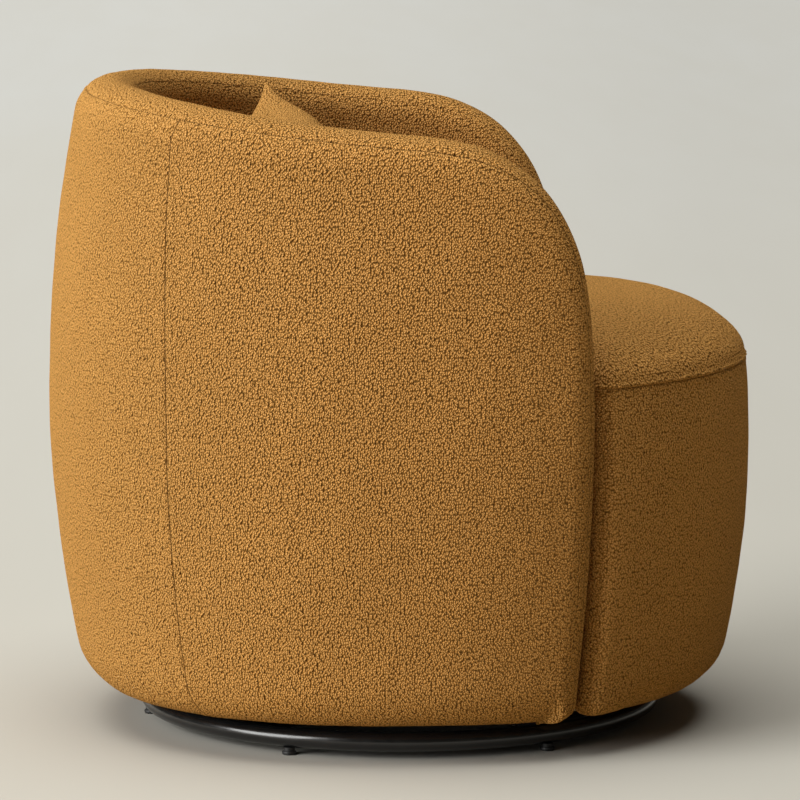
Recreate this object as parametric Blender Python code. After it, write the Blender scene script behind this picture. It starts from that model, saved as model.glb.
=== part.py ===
"""Swivel tub armchair: a barrel shell wrapped round a seat drum, on a low round tube base.

Frame: metres, +Z up, origin on the floor under the swivel axis, front towards -Y.
"""

import math

import bmesh
import bpy
from mathutils import Matrix, Vector

# Clearances
GAP = 0.0003
SEAM_GAP = 0.0006
CREVICE = 0.0008
RUNNING_CLEARANCE = 0.0001
BAND_FOAM_EASE = 0.0008
ROLL_LIFT = 0.0012

# Barrel shell, seen from above and in profile
HALF_WIDTH = 0.392
HALF_DEPTH_BACK = 0.4056
SHELL_SQUARENESS = 2.25
BACK_HEIGHT = 0.743
RIM_DROP_TO_ARMS = 0.041
BELLY_HEIGHT = 0.385
LOWER_DRAW_IN = 0.031
UPPER_DRAW_IN = 0.031
BOTTOM_ROUNDING = 0.050
SHELL_WALL = 0.075
ARM_FRONT_Y = -0.204
ARM_EDGE_STRAIGHT_HEIGHT = 0.400
ARM_CORNER_LENGTH = 0.228
ARM_CORNER_FULLNESS = 3.7
ARM_TOE_ROUNDING = 0.022
BACK_PADDING = 0.138
PADDING_RISE = 0.150

# Upholstery layers
COVER = 0.004
FORMER = 0.012
RIM_BAND_ANGLE = 50.0
REAR_SEAM_ANGLE = 51.3
COVER_TURN_UNDER = 0.015
GROOVE_TURN_UNDER = 0.004
LINING_BELOW_SEAM = 0.088

# Seat drum and seat
HALF_DEPTH_FRONT = 0.4049
DRUM_SQUARENESS = 2.0
DRUM_BELLY_HEIGHT = 0.335
DRUM_LOWER_DRAW_IN = 0.024
DRUM_UPPER_DRAW_IN = 0.0055
DRUM_FILLET = 0.022
DRUM_TOE_ROUNDING = 0.016
SEAT_SEAM_HEIGHT = 0.420
SEAT_SIDE_FOAM = 0.090
SEAT_CROWN = 0.084
SEAT_CENTRE_Y = -0.200
SEAT_SHOULDER = 0.032
SEAT_SHOULDER_STEEPNESS = 1.2
SEAT_CROWN_FULLNESS = 2.5
SEAT_TUCK = 0.001
SEAT_FOAM_SHOULDER = 0.008

# Wooden seat frame
BOARD_THICKNESS = 0.018
BOARD_EDGE_INSET = 0.024
BOARD_CHAMFER_INSET = 0.052
BOARD_CHAMFER_HEIGHT = 0.012
BOARD_HOLE_RADIUS = 0.032
ARM_NOTCH_RADIUS = 0.044
FRONT_PANEL_INSET = 0.045
PANEL_THICKNESS = 0.012
RAIL_THICKNESS = 0.018
RAIL_HALF_SPAN = 0.232
RAIL_BACK_Y = 0.185
WEBBING_WIDTH = 0.055
WEBBING_THICKNESS = 0.002
WEBBING_COUNT = 5
DUST_COVER_THICKNESS = 0.001
DUST_COVER_INSET = 0.070

# Base: ring, spokes and glides
GLIDE_HEIGHT = 0.006
GLIDE_RADIUS = 0.008
GLIDE_CHAMFER = 0.0012
GLIDE_COUNT = 6
GLIDE_TURN = 27.0
RING_RADIUS = 0.291
RING_TUBE_RADIUS = 0.011
SPOKE_COUNT = 4
SPOKE_WIDTH = 0.030
SPOKE_HEIGHT = 0.016
SPOKE_INNER_RADIUS = 0.045

# Swivel bearing
PLATE_SIDE = 0.190
PLATE_THICKNESS = 0.0025
PLATE_CORNER = 0.018
BOLT_SPACING = 0.070
BOLT_RADIUS = 0.004
BOLT_HEAD_RADIUS = 0.0075
BOLT_HEAD_HEIGHT = 0.005
BOLT_LENGTH = 0.013
SCREW_RADIUS = 0.0025
SCREW_HEAD_RADIUS = 0.0055
SCREW_HEAD_HEIGHT = 0.003
SCREW_LENGTH = 0.014
RACE_RADIUS = 0.045
RACE_WIDTH = 0.014
RACE_HEIGHT = 0.0035
RACE_GROOVE_DEPTH = 0.002
BALL_RADIUS = 0.004
BALL_COUNT = 8
CAGE_THICKNESS = 0.0015
PIVOT_RADIUS = 0.0115
PIVOT_HEAD_RADIUS = 0.020
PIVOT_HEAD_HEIGHT = 0.003

# Loose pillow
PILLOW_WIDTH = 0.450
PILLOW_HEIGHT = 0.270
PILLOW_THICKNESS = 0.150
PILLOW_DRAW_IN = 0.022
PILLOW_TILT = 20.0
PILLOW_EDGE = 0.0015
PILLOW_FULLNESS = 0.42

# Heights that follow from the stack of base, bearing and board
RING_Z = GLIDE_HEIGHT + GAP + RING_TUBE_RADIUS
SPOKE_TOP_Z = RING_Z + SPOKE_HEIGHT / 2
LOWER_PLATE_Z = SPOKE_TOP_Z + GAP
LOWER_RACE_Z = LOWER_PLATE_Z + PLATE_THICKNESS + GAP
BALL_Z = LOWER_RACE_Z + RACE_HEIGHT - RACE_GROOVE_DEPTH + GAP + BALL_RADIUS
UPPER_RACE_Z = BALL_Z + BALL_RADIUS + GAP - RACE_GROOVE_DEPTH
UPPER_PLATE_Z = UPPER_RACE_Z + RACE_HEIGHT + GAP
DUST_COVER_Z = UPPER_PLATE_Z + PLATE_THICKNESS + GAP
BOARD_Z = DUST_COVER_Z + DUST_COVER_THICKNESS + GAP
BOARD_TOP_Z = BOARD_Z + BOARD_THICKNESS
FABRIC_BOTTOM_Z = BOARD_Z - GAP - COVER
WALL_FOOT_Z = FABRIC_BOTTOM_Z + BOTTOM_ROUNDING
SEAT_DECK_Z = SEAT_SEAM_HEIGHT - SEAT_SIDE_FOAM
LINING_FOOT_Z = SEAT_SEAM_HEIGHT - LINING_BELOW_SEAM
RAIL_TOP_Z = SEAT_DECK_Z - WEBBING_THICKNESS - 2 * GAP

# Half thickness of the shell: the radius that its rolled rim turns on
RIM_RADIUS = SHELL_WALL / 2

# Mesh resolution
LOWER_ROWS = 2
UPPER_ROWS = 3
WALL_ROWS = LOWER_ROWS + UPPER_ROWS
BAND_ROWS = 3
BACK_COLUMNS = 5
ARM_COLUMNS = 3
CORNER_COLUMNS = 7
UNDER_STEPS = (30.0, 60.0, 90.0)
OUTER_TURN = 70.0
ROUND_SIDES = 24
RACE_SIDES = 32
HOLE_SIDES = 12
HEX_SIDES = 6
SCREW_SIDES = 8
BALL_SIDES = 8
CORNER_SEGMENTS = 3
BOARD_STEPS = 9
BAND_TOE_STATIONS = 3
PILLOW_COLUMNS = 14
PILLOW_ROWS = 10
SETTLING_ROUNDS = 6
HALVINGS = 50
GROOVE_SEGMENTS = 3
RING_SIDES = 48
TUBE_SIDES = 8

# Colours as seen, in linear values, with roughness and metallic value
OCHRE_FABRIC = ((0.33, 0.165, 0.048), 0.95, 0.0)
BLACK_STEEL = ((0.009, 0.009, 0.010), 0.32, 1.0)
ZINC_STEEL = ((0.42, 0.42, 0.40), 0.38, 1.0)
BLACK_NYLON = ((0.012, 0.012, 0.012), 0.6, 0.0)
BLACK_CLOTH = ((0.010, 0.010, 0.010), 0.95, 0.0)
BIRCH_PLY = ((0.55, 0.38, 0.20), 0.6, 0.0)
PALE_FOAM = ((0.70, 0.66, 0.50), 0.9, 0.0)
JUTE_WEB = ((0.30, 0.22, 0.12), 0.9, 0.0)


# Scene helpers

def clear_scene():
    for old in list(bpy.data.objects):
        bpy.data.objects.remove(old, do_unlink=True)


def material(name, look):
    colour, roughness, metallic = look
    made = bpy.data.materials.new(name)
    made.use_nodes = True
    shader = made.node_tree.nodes["Principled BSDF"]
    shader.inputs["Base Color"].default_value = (*colour, 1.0)
    shader.inputs["Roughness"].default_value = roughness
    shader.inputs["Metallic"].default_value = metallic
    made.diffuse_color = (*colour, 1.0)
    return made


def add_object(name, points, faces, look, parent, origin=(0.0, 0.0, 0.0), sharp=35.0):
    """Makes one object from points given in its parent's space and faces of any size."""
    mesh = bpy.data.meshes.new(name)
    base = Vector(origin)
    mesh.from_pydata([Vector(point) - base for point in points], [], faces)
    tidy = bmesh.new()
    tidy.from_mesh(mesh)
    bmesh.ops.recalc_face_normals(tidy, faces=tidy.faces)
    tidy.to_mesh(mesh)
    tidy.free()
    mesh.shade_smooth()
    mesh.set_sharp_from_angle(angle=math.radians(sharp))
    mesh.materials.append(material(name, look))
    made = bpy.data.objects.new(name, mesh)
    made.location = base
    made.parent = parent
    bpy.context.scene.collection.objects.link(made)
    return made


def add_axis(name, location):
    """An empty on a joint axis, which carries the pieces of one moving body."""
    axis = bpy.data.objects.new(name, None)
    axis.location = location
    bpy.context.scene.collection.objects.link(axis)
    return axis


def add_cutter(name, points, faces, parent):
    cutter = add_object(name, points, faces, ZINC_STEEL, parent)
    cutter.hide_render = True
    cutter.display_type = "WIRE"
    return cutter


def cut(target, cutter):
    hole = target.modifiers.new("hole", "BOOLEAN")
    hole.operation = "DIFFERENCE"
    hole.object = cutter


# Simple solids, each as a list of points and faces

def joined(*solids):
    points, faces = [], []
    for solid_points, solid_faces in solids:
        start = len(points)
        points += solid_points
        faces += [[index + start for index in face] for face in solid_faces]
    return points, faces


def moved(solid, offset):
    return [Vector(point) + Vector(offset) for point in solid[0]], solid[1]


def prism(outline, low, high):
    """A closed outline in plan, raised from one height to another."""
    count = len(outline)
    points = [Vector((x, y, low)) for x, y in outline] + [Vector((x, y, high)) for x, y in outline]
    faces = [list(range(count))[::-1], list(range(count, 2 * count))]
    faces += [[i, (i + 1) % count, count + (i + 1) % count, count + i] for i in range(count)]
    return points, faces


def box(low, high):
    outline = [(low[0], low[1]), (high[0], low[1]), (high[0], high[1]), (low[0], high[1])]
    return prism(outline, low[2], high[2])


def circle(radius, sides, centre=(0.0, 0.0), turn=0.0):
    steps = [turn + 2 * math.pi * i / sides for i in range(sides)]
    return [(centre[0] + radius * math.cos(a), centre[1] + radius * math.sin(a)) for a in steps]


def lathed(profile, sides):
    """A closed profile of (radius, height) points, turned round the vertical axis."""
    points, faces, rings = [], [], []
    for radius, height in profile:
        if radius < GAP:
            rings.append([len(points)] * sides)
            points.append(Vector((0.0, 0.0, height)))
        else:
            rings.append(list(range(len(points), len(points) + sides)))
            points += [Vector((x, y, height)) for x, y in circle(radius, sides)]
    for here, there in zip(rings, rings[1:] + rings[:1]):
        for i in range(sides):
            j = (i + 1) % sides
            face = list(dict.fromkeys([here[i], here[j], there[j], there[i]]))
            if len(face) > 2:
                faces.append(face)
    return points, faces


def thickened(outer, inner, triangles):
    """Two matching sheets of points, closed into one solid along their open edges."""
    count = len(outer)
    faces = [list(tri) for tri in triangles]
    faces += [[index + count for index in reversed(tri)] for tri in triangles]
    used = {}
    for tri in triangles:
        for a, b in zip(tri, tri[1:] + tri[:1]):
            used[(a, b)] = True
    for a, b in used:
        if (b, a) not in used:
            faces.append([b, a, a + count])
            faces.append([b, a + count, b + count])
    return outer + inner, faces


def grid_triangles(rows, columns, closed=False):
    """Triangles of a grid whose points run along each row, all split the same way."""
    triangles = []
    span = columns if closed else columns - 1
    for row in range(rows - 1):
        for column in range(span):
            a = row * columns + column
            b = row * columns + (column + 1) % columns
            triangles.append([a, b, b + columns])
            triangles.append([a, b + columns, a + columns])
    return triangles


# Plan curves and wall profile

def oval(angle, half_width, half_depth, squareness):
    """A point of a rounded-square oval; angle 0 is the back centre, 90 the right side."""
    power = 2.0 / squareness
    across, along = math.sin(angle), math.cos(angle)
    x = math.copysign(abs(across) ** power, across) * half_width
    y = math.copysign(abs(along) ** power, along) * half_depth
    return Vector((x, y, 0.0))


def oval_normal(angle, half_width, half_depth, squareness):
    power = 2.0 - 2.0 / squareness
    across, along = math.sin(angle), math.cos(angle)
    x = math.copysign(abs(across) ** power, across) / half_width
    y = math.copysign(abs(along) ** power, along) / half_depth
    return Vector((x, y, 0.0)).normalized()


def shell_scale(height):
    """How far the shell's plan is drawn in at a height, as a factor on its belly size."""
    if height < BELLY_HEIGHT:
        reach = (BELLY_HEIGHT - height) / (BELLY_HEIGHT - WALL_FOOT_Z)
        return 1.0 - LOWER_DRAW_IN * reach ** 2 / HALF_DEPTH_BACK
    reach = (height - BELLY_HEIGHT) / (BACK_HEIGHT - RIM_RADIUS - BELLY_HEIGHT)
    return 1.0 - UPPER_DRAW_IN * reach ** 2 / HALF_DEPTH_BACK


def drum_scale(height):
    if height < DRUM_BELLY_HEIGHT:
        reach = (DRUM_BELLY_HEIGHT - height) / (DRUM_BELLY_HEIGHT - WALL_FOOT_Z)
        return 1.0 - DRUM_LOWER_DRAW_IN * reach ** 2 / HALF_DEPTH_FRONT
    reach = (height - DRUM_BELLY_HEIGHT) / (SEAT_SEAM_HEIGHT - DRUM_BELLY_HEIGHT)
    return 1.0 - DRUM_UPPER_DRAW_IN * reach ** 2 / HALF_DEPTH_FRONT


def shell_normal(angle):
    return oval_normal(angle, HALF_WIDTH, HALF_DEPTH_BACK, SHELL_SQUARENESS)


def shell_point(angle, height, depth):
    """A point at a depth behind the shell's outer face."""
    at = oval(angle, HALF_WIDTH, HALF_DEPTH_BACK, SHELL_SQUARENESS) * shell_scale(height)
    at -= shell_normal(angle) * depth
    at.z = height
    return at


def shell_slope(angle, height):
    """Which way the wall leans as it rises, per unit of height."""
    step = 0.001
    return (shell_point(angle, height + step, 0.0) - shell_point(angle, height, 0.0)) / step


def solve(function, low, high):
    """The argument at which a rising function passes zero."""
    for _ in range(HALVINGS):
        middle = (low + high) / 2
        if function(middle) < 0.0:
            low = middle
        else:
            high = middle
    return (low + high) / 2


def mid_angle_at(y):
    """The plan angle at which the middle of the shell's wall has this y, at belly height."""
    return solve(lambda a: y - shell_point(a, BELLY_HEIGHT, RIM_RADIUS).y, 0.0, math.pi)


ARM_FRONT_ANGLE = mid_angle_at(ARM_FRONT_Y + RIM_RADIUS)
ARM_CORNER_ANGLE = mid_angle_at(ARM_FRONT_Y + ARM_CORNER_LENGTH)


def rim_mid_height(angle):
    """Height of the line that the rolled rim turns round."""
    angle = abs(angle)
    top = BACK_HEIGHT - RIM_RADIUS - RIM_DROP_TO_ARMS * (1.0 - math.cos(angle))
    y = shell_point(angle, BELLY_HEIGHT, RIM_RADIUS).y
    corner_start = ARM_FRONT_Y + ARM_CORNER_LENGTH
    run = (corner_start - y) / (ARM_CORNER_LENGTH - RIM_RADIUS)
    run = min(max(run, 0.0), 1.0)
    rise = (1.0 - run ** ARM_CORNER_FULLNESS) ** (1.0 / ARM_CORNER_FULLNESS)
    return ARM_EDGE_STRAIGHT_HEIGHT + (top - ARM_EDGE_STRAIGHT_HEIGHT) * rise


def shell_angles():
    """Plan angles of the shell's columns, from the left arm's front round to the right."""
    seam = math.radians(REAR_SEAM_ANGLE)
    half = [seam * i / BACK_COLUMNS for i in range(BACK_COLUMNS)]
    half += [seam + (ARM_CORNER_ANGLE - seam) * i / ARM_COLUMNS for i in range(ARM_COLUMNS)]
    corner_start = ARM_FRONT_Y + ARM_CORNER_LENGTH
    length = ARM_CORNER_LENGTH - RIM_RADIUS
    for i in range(CORNER_COLUMNS + 1):
        run = math.sin(math.pi / 2 * i / CORNER_COLUMNS) ** (2.0 / ARM_CORNER_FULLNESS)
        half.append(mid_angle_at(corner_start - length * run))
    return [-angle for angle in half[:0:-1]] + half


ANGLES = shell_angles()
LAST = len(ANGLES) - 1
LEFT_SEAM = CORNER_COLUMNS + ARM_COLUMNS
RIGHT_SEAM = LAST - LEFT_SEAM


# Shell layers. A vertex key is ("wall", column, row), ("low", column, step) or
# ("rim", station, angle), with rim stations from the left arm's toe over to the right arm's.

RIM_STATIONS = [("low", 0, step) for step in reversed(range(len(UNDER_STEPS)))]
RIM_STATIONS += [("wall", 0, row) for row in range(WALL_ROWS + 1)]
RIM_STATIONS += [("wall", column, WALL_ROWS) for column in range(1, LAST)]
RIM_STATIONS += [("wall", LAST, row) for row in reversed(range(WALL_ROWS + 1))]
RIM_STATIONS += [("low", LAST, step) for step in range(len(UNDER_STEPS))]


def column_height(column, row):
    """Rows are level up to the foot of the tub's lining and then fan out to the rim."""
    if row <= LOWER_ROWS:
        return WALL_FOOT_Z + (LINING_FOOT_Z - WALL_FOOT_Z) * row / LOWER_ROWS
    rise = rim_mid_height(ANGLES[column]) - LINING_FOOT_Z
    return LINING_FOOT_Z + rise * (row - LOWER_ROWS) / UPPER_ROWS


def station_centre(station):
    kind, column, row = RIM_STATIONS[station]
    height = column_height(column, row) if kind == "wall" else WALL_FOOT_Z
    return shell_point(ANGLES[column], height, RIM_RADIUS)


def forward(angle):
    """The level direction along the wall towards the arm's front."""
    normal = shell_normal(angle)
    side = 1.0 if angle >= 0.0 else -1.0
    return Vector((normal.y * side, -normal.x * side, 0.0))


def rim_outward(station):
    """The direction in the wall's own surface that points out of the shell's edge."""
    kind, column, row = RIM_STATIONS[station]
    angle = ANGLES[column]
    if kind == "low" or column in (0, LAST):
        return forward(angle)
    up = shell_slope(angle, column_height(column, row))
    along = station_centre(station + 1) - station_centre(station - 1)
    ahead = forward(angle)
    run, climb = along.dot(ahead), along.z
    if run > 0.0:
        run, climb = -run, -climb
    length = math.hypot(run, climb)
    return ahead * (climb / length) + up * (-run / length)


def rim_point(station, turn, depth, shift=0.0):
    """A point of the rolled rim; turn 90 is the outer face, -90 the inner face."""
    kind, column, row = RIM_STATIONS[station]
    angle = ANGLES[column]
    normal = shell_normal(angle)
    sideways, outwards = math.sin(math.radians(turn)), math.cos(math.radians(turn))
    if shift:
        along = normal * outwards - rim_outward(station) * sideways
        return rim_point(station, turn, depth) + along * shift
    if kind == "low":
        share = max((turn - OUTER_TURN) / (90.0 - OUTER_TURN), 0.0)
        rounding = ARM_TOE_ROUNDING + (BOTTOM_ROUNDING - ARM_TOE_ROUNDING) * share
        inset, height = under_turn(rounding, UNDER_STEPS[row], depth)
        centre = shell_point(angle, height, RIM_RADIUS)
        return centre + (normal * sideways + forward(angle) * outwards) * (RIM_RADIUS - inset)
    centre = station_centre(station)
    direction = normal * sideways + rim_outward(station) * outwards
    return centre + direction * (RIM_RADIUS - depth)


def under_turn(rounding, step, depth):
    """Inset and height of a layer that turns under the chair, at an angle of the turn."""
    turn = math.radians(step)
    inset = depth + (rounding - depth) * (1.0 - math.cos(turn))
    return inset, FABRIC_BOTTOM_Z + rounding - (rounding - depth) * math.sin(turn)


def padding(angle, height):
    """How much thicker the inner padding is than the rim, towards the seat."""
    reach = (rim_mid_height(angle) - height) / PADDING_RISE
    reach = min(max(reach, 0.0), 1.0)
    spread = max(math.cos(angle / ARM_FRONT_ANGLE * math.pi / 2), 0.0)
    return BACK_PADDING * spread * reach * reach * (3.0 - 2.0 * reach)


def inner_point(angle, height, depth):
    """A point at a depth behind the shell's inner face."""
    return shell_point(angle, height, SHELL_WALL + padding(angle, height) - depth)


def outer_vertex(key, depth, nudge=0.0):
    kind, first, second = key
    if kind == "rim":
        return rim_point(first, second, depth)
    angle = ANGLES[first] + nudge
    if kind == "wall":
        return shell_point(angle, column_height(first, second), depth)
    if kind == "low":
        inset, height = under_turn(BOTTOM_ROUNDING, UNDER_STEPS[second], depth)
        return shell_point(angle, height, inset)
    inset, height = under_turn(BOTTOM_ROUNDING, 90.0, depth)
    return shell_point(angle, height, inset + COVER_TURN_UNDER)


def quads_to_triangles(quads):
    triangles = []
    for a, b, c, d in quads:
        triangles.append([a, b, c])
        triangles.append([a, c, d])
    return triangles


def outer_quads(first, last, turns):
    """Quads of an outer cover between two columns, up and over to the first turn angle."""
    quads = []
    steps = len(UNDER_STEPS)
    for column in range(first, last):
        ladder = [("hem", 0)] + [("low", step) for step in reversed(range(steps))]
        ladder += [("wall", row) for row in range(WALL_ROWS + 1)]
        for (kind_a, row_a), (kind_b, row_b) in zip(ladder, ladder[1:]):
            quads.append([(kind_a, column, row_a), (kind_a, column + 1, row_a),
                          (kind_b, column + 1, row_b), (kind_b, column, row_b)])
    stations = []
    for station, (kind, column, row) in enumerate(RIM_STATIONS):
        on_top = kind == "wall" and row == WALL_ROWS
        if first <= column <= last and (on_top or column in (0, LAST)):
            stations.append(station)
    for here, there in zip(stations, stations[1:]):
        edges = [RIM_STATIONS[here], RIM_STATIONS[there]]
        for turn in turns:
            quads.append([edges[0], edges[1], ("rim", there, turn), ("rim", here, turn)])
            edges = [("rim", here, turn), ("rim", there, turn)]
    return quads


def solid_from_quads(quads, outer_place, inner_place):
    keys = list(dict.fromkeys(key for quad in quads for key in quad))
    index = {key: number for number, key in enumerate(keys)}
    triangles = quads_to_triangles([[index[key] for key in quad] for quad in quads])
    return thickened([outer_place(key) for key in keys], [inner_place(key) for key in keys],
                     triangles)


def outer_cover(name, first, last, parent):
    """One fabric panel of the outer shell between two seams."""
    quads = outer_quads(first, last, (OUTER_TURN, RIM_BAND_ANGLE))
    seam_shift = SEAM_GAP / (2 * HALF_WIDTH)
    nudges = {first: seam_shift if first else 0.0, last: -seam_shift if last < LAST else 0.0}

    def place(depth):
        def at(key):
            if key[0] == "rim":
                column = RIM_STATIONS[key[1]][1]
                shift = forward(ANGLES[column]) * HALF_WIDTH * nudges.get(column, 0.0)
                side = 1.0 if ANGLES[column] >= 0.0 else -1.0
                back_off = SEAM_GAP / 2 if key[2] == RIM_BAND_ANGLE else 0.0
                return rim_point(key[1], key[2], depth, back_off) + shift * side
            return outer_vertex(key, depth, nudges.get(key[1], 0.0))
        return at

    points, faces = solid_from_quads(quads, place(0.0), place(COVER))
    return add_object(name, points, faces, OCHRE_FABRIC, parent)


def rim_strip(turns, outer_depth, inner_depth, skip=0, lift=0.0, narrowed=0.0):
    """A strip along the whole rim, over the given turn angles."""
    stations = range(skip, len(RIM_STATIONS) - skip)

    def row(turn, depth):
        shift = {turns[0]: -narrowed, turns[-1]: narrowed}.get(turn, 0.0)
        rise = lift if abs(turn) == 90.0 else 0.0
        return [rim_point(station, turn, depth, shift) + rim_outward(station) * rise
                for station in stations]

    outer = [point for turn in turns for point in row(turn, outer_depth)]
    inner = [point for turn in turns for point in row(turn, inner_depth)]
    return thickened(outer, inner, grid_triangles(len(turns), len(stations)))


def inner_lining(name, outer_depth, inner_depth, look, parent, over_rim, to_former=False):
    """A layer of the tub's inside, from below the seat up to the rim."""
    rows = [("wall", row) for row in range(LOWER_ROWS, WALL_ROWS + 1)]
    quads = []
    for column in range(LAST):
        for (kind_a, row_a), (kind_b, row_b) in zip(rows, rows[1:]):
            quads.append([(kind_a, column, row_a), (kind_a, column + 1, row_a),
                          (kind_b, column + 1, row_b), (kind_b, column, row_b)])
    stations = [number for number, (kind, column, row) in enumerate(RIM_STATIONS)
                if kind == "wall" and row >= LOWER_ROWS]
    if over_rim:
        for here, there in zip(stations, stations[1:]):
            edges = [RIM_STATIONS[here], RIM_STATIONS[there]]
            for turn in (-OUTER_TURN, -RIM_BAND_ANGLE):
                quads.append([edges[0], edges[1], ("rim", there, turn), ("rim", here, turn)])
                edges = [("rim", here, turn), ("rim", there, turn)]

    def place(depth, plain):
        def at(key):
            if key[0] == "rim":
                back_off = -SEAM_GAP / 2 if key[2] == -RIM_BAND_ANGLE else 0.0
                return rim_point(key[1], key[2], depth, back_off)
            angle, height = ANGLES[key[1]], column_height(key[1], key[2])
            if plain:
                return shell_point(angle, height, RIM_RADIUS + FORMER / 2 + GAP)
            return inner_point(angle, height, depth)
        return at

    points, faces = solid_from_quads(quads, place(outer_depth, False),
                                     place(inner_depth, to_former))
    return add_object(name, points, faces, look, parent)


def shell_sheet(name, outer_depth, inner_depth, foot, look, parent):
    """A layer of even depth in the shell's wall, from a foot height up to the rim line."""
    columns = LAST + 1

    def rows(depth, low_inset):
        made = [shell_point(angle, foot, low_inset) for angle in ANGLES]
        for row in range(WALL_ROWS + 1):
            made += [shell_point(ANGLES[c], column_height(c, row), depth) for c in range(columns)]
        return made

    inset = outer_depth
    if foot > BOARD_TOP_Z + 2 * GAP:
        inset = under_turn(BOTTOM_ROUNDING, UNDER_STEPS[0], outer_depth)[0]
    solid = thickened(rows(outer_depth, inset), rows(inner_depth, inner_depth),
                      grid_triangles(WALL_ROWS + 2, columns))
    return add_object(name, *solid, look, parent)


def build_shell(parent):
    """The barrel of arms and back: bent former, foams, lining and covers."""
    shell_sheet("shell_former", RIM_RADIUS - FORMER / 2, RIM_RADIUS + FORMER / 2,
                BOARD_TOP_Z + GAP, BIRCH_PLY, parent)
    foam_depth = COVER + GAP
    foam_foot = under_turn(BOTTOM_ROUNDING, UNDER_STEPS[0], foam_depth)[1]
    shell_sheet("outer_foam", foam_depth, RIM_RADIUS - FORMER / 2 - GAP, foam_foot,
                PALE_FOAM, parent)
    inner_lining("inner_foam", COVER + GAP, 0.0, PALE_FOAM, parent, False, to_former=True)
    roll = rim_strip((90.0, RIM_BAND_ANGLE, 0.0, -RIM_BAND_ANGLE, -90.0), COVER + CREVICE,
                     RIM_RADIUS - FORMER / 2 - GAP, skip=len(UNDER_STEPS), lift=ROLL_LIFT)
    add_object("rim_foam", *roll, PALE_FOAM, parent)
    outer_cover("outer_back_cover", LEFT_SEAM, RIGHT_SEAM, parent)
    outer_cover("outer_side_cover_left", 0, LEFT_SEAM, parent)
    outer_cover("outer_side_cover_right", RIGHT_SEAM, LAST, parent)
    turns = (RIM_BAND_ANGLE, RIM_BAND_ANGLE / 2, 0.0, -RIM_BAND_ANGLE / 2, -RIM_BAND_ANGLE)
    band = rim_strip(turns, 0.0, COVER, narrowed=SEAM_GAP / 2)
    add_object("rim_band", *band, OCHRE_FABRIC, parent)
    inner_lining("inner_cover", 0.0, COVER, OCHRE_FABRIC, parent, True)


# Seat drum

DRUM_STATIONS = 9
FILLET_STATIONS = 4
HUG_STATIONS = 4


def drum_size(height):
    scale = drum_scale(height)
    return HALF_WIDTH * scale, HALF_DEPTH_FRONT * scale, DRUM_SQUARENESS


def drum_point(angle, height, inset):
    """A point of the drum's front; angle 180 degrees is the front centre."""
    size = drum_size(height)
    at = oval(angle, *size) - oval_normal(angle, *size) * inset
    at.z = height
    return at


def drum_corner(height):
    """Where the drum's side rolls into the groove beside the arm's front."""
    arm = shell_point(ARM_FRONT_ANGLE, height, RIM_RADIUS)
    reach = RIM_RADIUS + CREVICE + DRUM_FILLET

    def spacing(angle):
        return (drum_point(angle, height, DRUM_FILLET) - arm).length - reach

    angle = solve(spacing, ARM_FRONT_ANGLE, math.pi)
    return angle, drum_point(angle, height, DRUM_FILLET), arm


def bearing(direction):
    return math.atan2(direction.x, direction.y)


def drum_half_path(height, inset):
    """The right half of the drum's plan from the front centre into the groove."""
    last_angle, centre, arm = drum_corner(height)
    path = []
    for i in range(DRUM_STATIONS):
        angle = math.pi + (last_angle - math.pi) * i / (DRUM_STATIONS - 1)
        path.append(drum_point(angle, height, inset))
    start = bearing(oval_normal(last_angle, *drum_size(height)))
    end = bearing(arm - centre)
    for i in range(1, FILLET_STATIONS + 1):
        turn = start + (end - start) * i / FILLET_STATIONS
        direction = Vector((math.sin(turn), math.cos(turn), 0.0))
        path.append(centre + direction * (DRUM_FILLET - inset))
    return path


def mirrored_path(half):
    """A half path from the centre line outwards, with its mirror image before it."""
    left = [Vector((-point.x, point.y, point.z)) for point in half[:0:-1]]
    return left + half


def band_hem(station):
    """Rounding and turn-under of the band's lower edge, smaller towards the groove."""
    passed = station - DRUM_STATIONS + 1 + BAND_TOE_STATIONS
    share = min(max(passed / BAND_TOE_STATIONS, 0.0), 1.0)
    rounding = BOTTOM_ROUNDING + (DRUM_TOE_ROUNDING - BOTTOM_ROUNDING) * share
    return rounding, COVER_TURN_UNDER + (GROOVE_TURN_UNDER - COVER_TURN_UNDER) * share


def band_row(step, depth, turned):
    half = []
    for station in range(DRUM_STATIONS + FILLET_STATIONS):
        rounding, turn_under = band_hem(station)
        inset, height = under_turn(rounding, step, depth)
        inset += turn_under if turned else 0.0
        half.append(drum_half_path(height, inset)[station])
    return mirrored_path(half)


def band_rows(depth):
    rows = [band_row(UNDER_STEPS[-1], depth, True)]
    rows += [band_row(step, depth, False) for step in reversed(UNDER_STEPS)]
    rows += [mirrored_path(drum_half_path(height, depth)) for height in BAND_HEIGHTS]
    return rows


BAND_TOP_Z = SEAT_SEAM_HEIGHT - SEAM_GAP / 2
BAND_HEIGHTS = [WALL_FOOT_Z + (BAND_TOP_Z - WALL_FOOT_Z) * row / BAND_ROWS
                for row in range(BAND_ROWS + 1)]


def band_facet_path(height, inset):
    """The drum's half path on the flat facets of its fabric band."""
    for low, high in zip(BAND_HEIGHTS, BAND_HEIGHTS[1:]):
        if height <= high:
            break
    share = (height - low) / (high - low)
    below, above = drum_half_path(low, inset), drum_half_path(high, inset)
    return [a.lerp(b, share) for a, b in zip(below, above)]


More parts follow.
